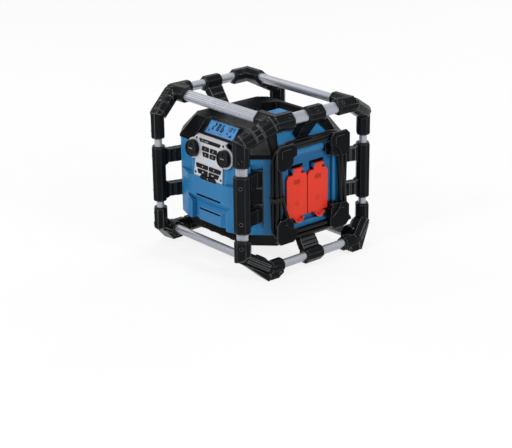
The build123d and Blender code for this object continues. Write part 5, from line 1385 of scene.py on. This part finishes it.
# ---- display ------------------------------------------------------------------------------------
@dataclass
class Display:
    """Lit display under a clear window, with its digits."""
    middle: Point = (0.0, -0.1137, SLEEVE_MIDDLE + 0.1207)
    tilt: float = math.radians(50.8)
    glass: float = -1.8 * MM  # height of the lit glass over the display's outer plane
    ink: Flat = (0.005 * MM, 0.12 * MM)  # foot and top of the dark strokes, over the lit glass
    slant: float = 0.12
    rounding: Rounding = Rounding(0.6 * MM)
    numbers: tuple[tuple[str, Flat, Flat, float], ...] = (  # digits, lower left corner, size and stroke
        ("286", (-34.0 * MM, -5.5 * MM), (9.4 * MM, 18.0 * MM), 3.4 * MM),
        ("104", (14.5 * MM, 1.8 * MM), (5.6 * MM, 11.0 * MM), 2.2 * MM))
    dot: Flat = (-39.5 * MM, -8.0 * MM)
    dot_radius: float = 2.2 * MM
    triangle: tuple[Flat, ...] = ((0.0, -11.5 * MM), (5.0 * MM, -11.5 * MM), (2.5 * MM, -8.3 * MM))
    lines: tuple[tuple[float, float, float], ...] = (  # left end, right end and foot of the short lines
        (17.0 * MM, 23.0 * MM, -3.2 * MM), (17.0 * MM, 25.0 * MM, -6.0 * MM))
    line_thick: float = 1.6 * MM
    steps: Flat = (28.0 * MM, -11.0 * MM)  # lower left corner of the level bars
    step_wide: float = 1.8 * MM
    step_pitch: float = 2.4 * MM
    step_high: float = 2.6 * MM  # height of the first of these bars
    step_rise: float = 1.5 * MM

    def face(self) -> Face:
        """The display's outer plane."""
        return Face(self.middle, X_AXIS, (0.0, -math.sin(self.tilt), math.cos(self.tilt)))

    def build(self) -> None:
        """Dress the display."""
        self.rounding.apply("display_bezel")
        dress("display_lens", "lcd_module")
        former = Former("display_digits")
        for number in self.numbers:
            for outline in strokes(*number, self.slant):
                self.bar(former, outline)
        self.signs(former)
        former.done("display_ink", "display_blue")

    def bar(self, former: Former, points: Sequence[Flat]) -> None:
        """One dark stroke on the glass."""
        low, high = self.ink
        former.prism(self.face(), points, self.glass + low, self.glass + high)

    def signs(self, former: Former) -> None:
        """Form the small signs round the digits: a dot, a triangle, short lines and level bars.

        Args:
            former: The piece that they belong to.
        """
        self.bar(former, circle(self.dot_radius, 12, self.dot))
        self.bar(former, self.triangle)
        for left, right, foot in self.lines:
            self.bar(former, rectangle(left, right, foot, foot + self.line_thick))
        left, foot = self.steps
        for i in range(4):
            x, top = left + i * self.step_pitch, foot + self.step_high + i * self.step_rise
            self.bar(former, rectangle(x, x + self.step_wide, foot, top))


# ---- outlets and cord ---------------------------------------------------------------------------
@dataclass
class OutletSide:
    """Flaps over the mains sockets, their pins, and the cord hooks."""
    rounding: Rounding = Rounding(0.6 * MM)
    hook_rounding: Rounding = Rounding(0.8 * MM)
    flap_face: float = 156.5 * MM
    flap_middle: float = 31.0 * MM
    sign_height: float = SLEEVE_MIDDLE - 0.030
    hook_face: float = 179.0 * MM
    hook_mirror: float = SLEEVE_MIDDLE + 0.006
    print_thick: float = 0.12 * MM
    sign_ring: Flat = (4.4 * MM, 5.2 * MM)
    sign_dot: float = 0.9 * MM
    sign_spread: float = 1.9 * MM  # of the two dots from the middle
    grip_low: float = 46.2 * MM  # lowest grip line, from the sign
    grip_step: float = 2.3 * MM
    grip_half: float = 7.5 * MM
    grip_thick: float = 0.9 * MM
    grip_depth: Flat = (-1.2 * MM, -0.3 * MM)  # foot and top of the grip lines, from the flap's face
    pocket: Point = (21.0 * MM, 68.0 * MM, 88.0 * MM)  # half width, foot and top of a painted shadow plate, from the sign
    pocket_depth: Flat = (-5.7 * MM, -5.1 * MM)
    rib_thick: float = 1.1 * MM
    rib_proud: Flat = (-0.2 * MM, 0.7 * MM)
    rib_long: float = 26.0 * MM  # reach of the level arm of a hook's L
    rib_down: float = 17.0 * MM  # length of its other arm
    dash_long: float = 8.0 * MM
    rib_heights: Flat = (102.0 * MM, -69.0 * MM)  # of the L and of the short line
    rib_places: tuple[tuple[str, float, float], ...] = (  # name, left end of the L and of the short line
        ("front", -94.0 * MM, -86.0 * MM), ("rear", 64.0 * MM, 84.0 * MM))
    fine_bevel: float = 0.2 * MM

    def build(self) -> None:
        """Dress the outlet side."""
        for flap in ("outlet_flap_front", "outlet_flap_rear"):
            self.rounding.apply(flap, flap)
        self.hook_rounding.apply("cord_hooks")
        dress("hinge_pins", "outlet_sockets")
        self.pockets()
        self.socket_signs()
        self.grips()
        self.hook_ribs()

    def flaps(self) -> Iterator[tuple[str, Face]]:
        """Go through the two flaps.

        Yields:
            A flap's name, and its face with the middle at the height of the sign.
        """
        for name, side in (("front", -1), ("rear", 1)):
            place = (self.flap_face, side * self.flap_middle, self.sign_height)
            yield name, Face(place, Y_AXIS, X_AXIS)

    def pockets(self) -> None:
        """Dark plate in the recess floor behind each hinge, a painted shadow."""
        half, low, high = self.pocket
        former = Former("hinge_pockets")
        for _, face in self.flaps():
            former.prism(face, rectangle(-half, half, low, high), *self.pocket_depth)
        former.done("port_gauze", "case_black")

    def socket_signs(self) -> None:
        """A small socket sign low on each flap: a ring round two dots."""
        for name, face in self.flaps():
            former = Former(f"socket_sign_{name}")
            former.hoop(face, (0.0, 0.0), self.sign_ring, 0.0, self.print_thick, count=28)
            for x in (-self.sign_spread, self.sign_spread):
                former.prism(face, circle(self.sign_dot, 12, (x, 0.0)), 0.0, self.print_thick)
            former.done("mark_red", "flap_red", f"outlet_flap_{name}")

    def grips(self) -> None:
        """Raised lines in the thumb recess under each hinge."""
        for name, face in self.flaps():
            former = Former(f"grip_lines_{name}")
            for i in range(4):
                y = self.grip_low + i * self.grip_step
                line = rectangle(-self.grip_half, self.grip_half, y, y + self.grip_thick)
                former.prism(face, line, *self.grip_depth)
            former.done("flap_red", "flap_red", f"outlet_flap_{name}", bevel=self.fine_bevel)

    def hook_ribs(self) -> None:
        """Raised L on each upper hook and a short line on each lower one."""
        face = Face((self.hook_face, 0.0, self.hook_mirror), Y_AXIS, X_AXIS)
        thick, (high, low) = self.rib_thick, self.rib_heights
        for name, left, dash in self.rib_places:
            former = Former(f"hook_ribs_{name}")
            for outline in (rectangle(left + 2 * thick, left + self.rib_long, high, high + thick),
                            rectangle(left, left + thick, high - self.rib_down, high),
                            rectangle(dash, dash + self.dash_long, low, low + thick)):
                former.prism(face, outline, *self.rib_proud)
            former.done("case_black", "case_black", bevel=self.fine_bevel)


@dataclass
class CordWinding:
    """Mains cord wound round the four hooks, from its strain relief to its plug."""
    radius: float = 4.25 * MM
    passes: int = 5
    inner_half: float = 82.0 * MM
    inner_top: float = SLEEVE_MIDDLE + 0.098
    inner_low: float = SLEEVE_MIDDLE - 0.080
    row_near: float = 162.35 * MM
    row_far: float = 169.05 * MM
    side_pitch: float = 5.3 * MM
    top_pitch: float = 3.7 * MM
    corner: float = 20.0 * MM
    bend: float = 0.586  # distance of a bend's control points from its corner, as a share of its radius
    wave: float = 0.7 * MM  # unevenness of the free stretches
    wave_steps: Flat = (2.3, 1.7)  # how far it runs on from turn to turn, and from point to point
    middle: float = 0.022  # half distance of the two control points in the middle of a level stretch
    front_heights: tuple[float, ...] = (-0.045, 0.005, 0.055)  # control points, from the sleeves' middle
    rear_steps: tuple[Flat, ...] = ((0.050, 0.15), (0.005, 0.5), (-0.040, 0.85))  # and share of the next turn
    smoothness: int = 8
    round_steps: int = 4
    length: float = 3.55
    start: tuple[Point, ...] = (  # before the first turn, in millimetres, from the sleeves' middle
        (165.5, -74.0, -36.0), (165.5, -77.5, -20.0), (164.2, -83.0, 0.0))
    end: tuple[Point, ...] = (  # and after the last one, down to the plug
        (165.0, 111.0, -84.0), (161.0, 124.0, -99.0), (146.0, 141.0, -111.0), (128.0, 144.0, -113.2),
        (112.0, 144.0, -113.5))

    def offset(self, turn: float) -> float:
        """Distance of a turn's centreline from the hooks, beside them."""
        return self.radius + self.side_pitch * turn

    def row(self, turn: float) -> float:
        """Place of a turn along X, since the turns lie in two staggered rows.

        Args:
            turn: The turn, with the share that has passed into the next one.

        Returns:
            The place.
        """
        below = math.floor(turn)
        share = turn - below
        near, far = self.row_near, self.row_far
        first, second = (near, far) if below % 2 == 0 else (far, near)
        return first + (second - first) * share

    def route(self) -> list[Vector]:
        """Lead the cord from its strain relief to its plug.

        Returns:
            Control points of its line.
        """
        line = self.placed(self.start)
        for turn in range(self.passes):
            line += self.front(turn) if turn else []
            line += self.level(turn, 1, self.inner_top + self.radius + self.top_pitch * turn)
            line += self.rear(turn, turn == self.passes - 1)
            if turn < self.passes - 1:
                line += self.level(turn + 1, -1, self.inner_low - self.offset(turn + 1))
        return line + self.placed(self.end)

    @staticmethod
    def placed(points: Sequence[Point]) -> list[Vector]:
        """Control points given in millimetres from the height of the sleeves' middle."""
        return [Vector((x * MM, y * MM, SLEEVE_MIDDLE + z * MM)) for x, y, z in points]

    def slack(self, turn: float, step: int) -> float:
        """Small unevenness of a free stretch between two hooks."""
        per_turn, per_step = self.wave_steps
        return self.wave * math.sin(per_turn * turn + per_step * step)

    def front(self, turn: int) -> list[Vector]:
        """Lead a turn upward beside the front hooks.

        Args:
            turn: Which turn it is.

        Returns:
            Its control points there.
        """
        x, y = self.row(turn), -(self.inner_half + self.offset(turn))
        return [Vector((x, y + self.slack(turn, i), SLEEVE_MIDDLE + height))
                for i, height in enumerate(self.front_heights)]

    def level(self, turn: int, way: int, z: float) -> list[Vector]:
        """Lead a turn over the upper hooks or under the lower ones, with the bends on both sides.

        Args:
            turn: Which turn it is.
            way: 1 over the upper hooks, towards the rear, and -1 under the lower ones, towards the front.
            z: Its height there.

        Returns:
            Its control points there.
        """
        x, y = self.row(turn), way * (self.inner_half + self.offset(turn))
        cut = way * self.bend * (self.corner + self.offset(turn))
        uneven = 4 if way > 0 else 12  # the upper and the lower stretches differ
        middle = [Vector((x, s * self.middle, z + self.slack(turn, uneven + s))) for s in (-way, way)]
        return [Vector((x, -y, z - cut)), Vector((x, -y + cut, z)), *middle, Vector((x, y - cut, z)),
                Vector((x, y, z - cut))]

    def rear(self, turn: int, last: bool) -> list[Vector]:
        """Lead a turn downward beside the rear hooks, where it passes into the next one's place.

        Args:
            turn: Which turn it is.
            last: Whether it is the last one, which keeps its place.

        Returns:
            Its control points there.
        """
        points = []
        for i, (height, share) in enumerate(self.rear_steps):
            place = turn + (0.0 if last else share)
            y = self.inner_half + self.offset(place)
            points.append(Vector((self.row(place), y + self.slack(turn, 8 + i), SLEEVE_MIDDLE + height)))
        return points

    def build(self) -> None:
        """Lay the cord and dress what is on it."""
        dress("cord_gland", "cord_clip", "power_plug")
        route = self.route()
        curve = bpy.data.curves.new("mains_cord", "CURVE")
        curve.dimensions = "3D"
        spline = curve.splines.new("NURBS")
        spline.points.add(len(route) - 1)
        for control, place in zip(spline.points, route):
            control.co = (*place, 1.0)
        spline.order_u = 3
        spline.use_endpoint_u = True
        curve.resolution_u = self.smoothness
        curve.bevel_depth = self.radius
        curve.bevel_resolution = self.round_steps
        curve.use_fill_caps = True
        cord = linked("mains_cord", curve)
        fitted(cord, "cord_black", "cord_black", ROOT)
        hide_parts("power_cord_winding", "power_cord_lead")
        tuple(route[0])


# ---- inside -------------------------------------------------------------------------------------
@dataclass
class Inside:
    """Parts inside the casing."""

    def build(self) -> None:
        """Dress the inner parts."""
        dress("corner_speakers", "subwoofer", "battery_pack", "main_board", "power_supply")


def main() -> None:
    """Build the studio and every sub-assembly."""
    logging.basicConfig(level=logging.INFO, format="%(name)s: %(message)s")
    for assembly in (Studio, RollCage, Casing, ControlPanel, Display, OutletSide, CordWinding, Inside):
        assembly().build()
        log.info("built %s", assembly.__name__)


if __name__ == "__main__":
    main()
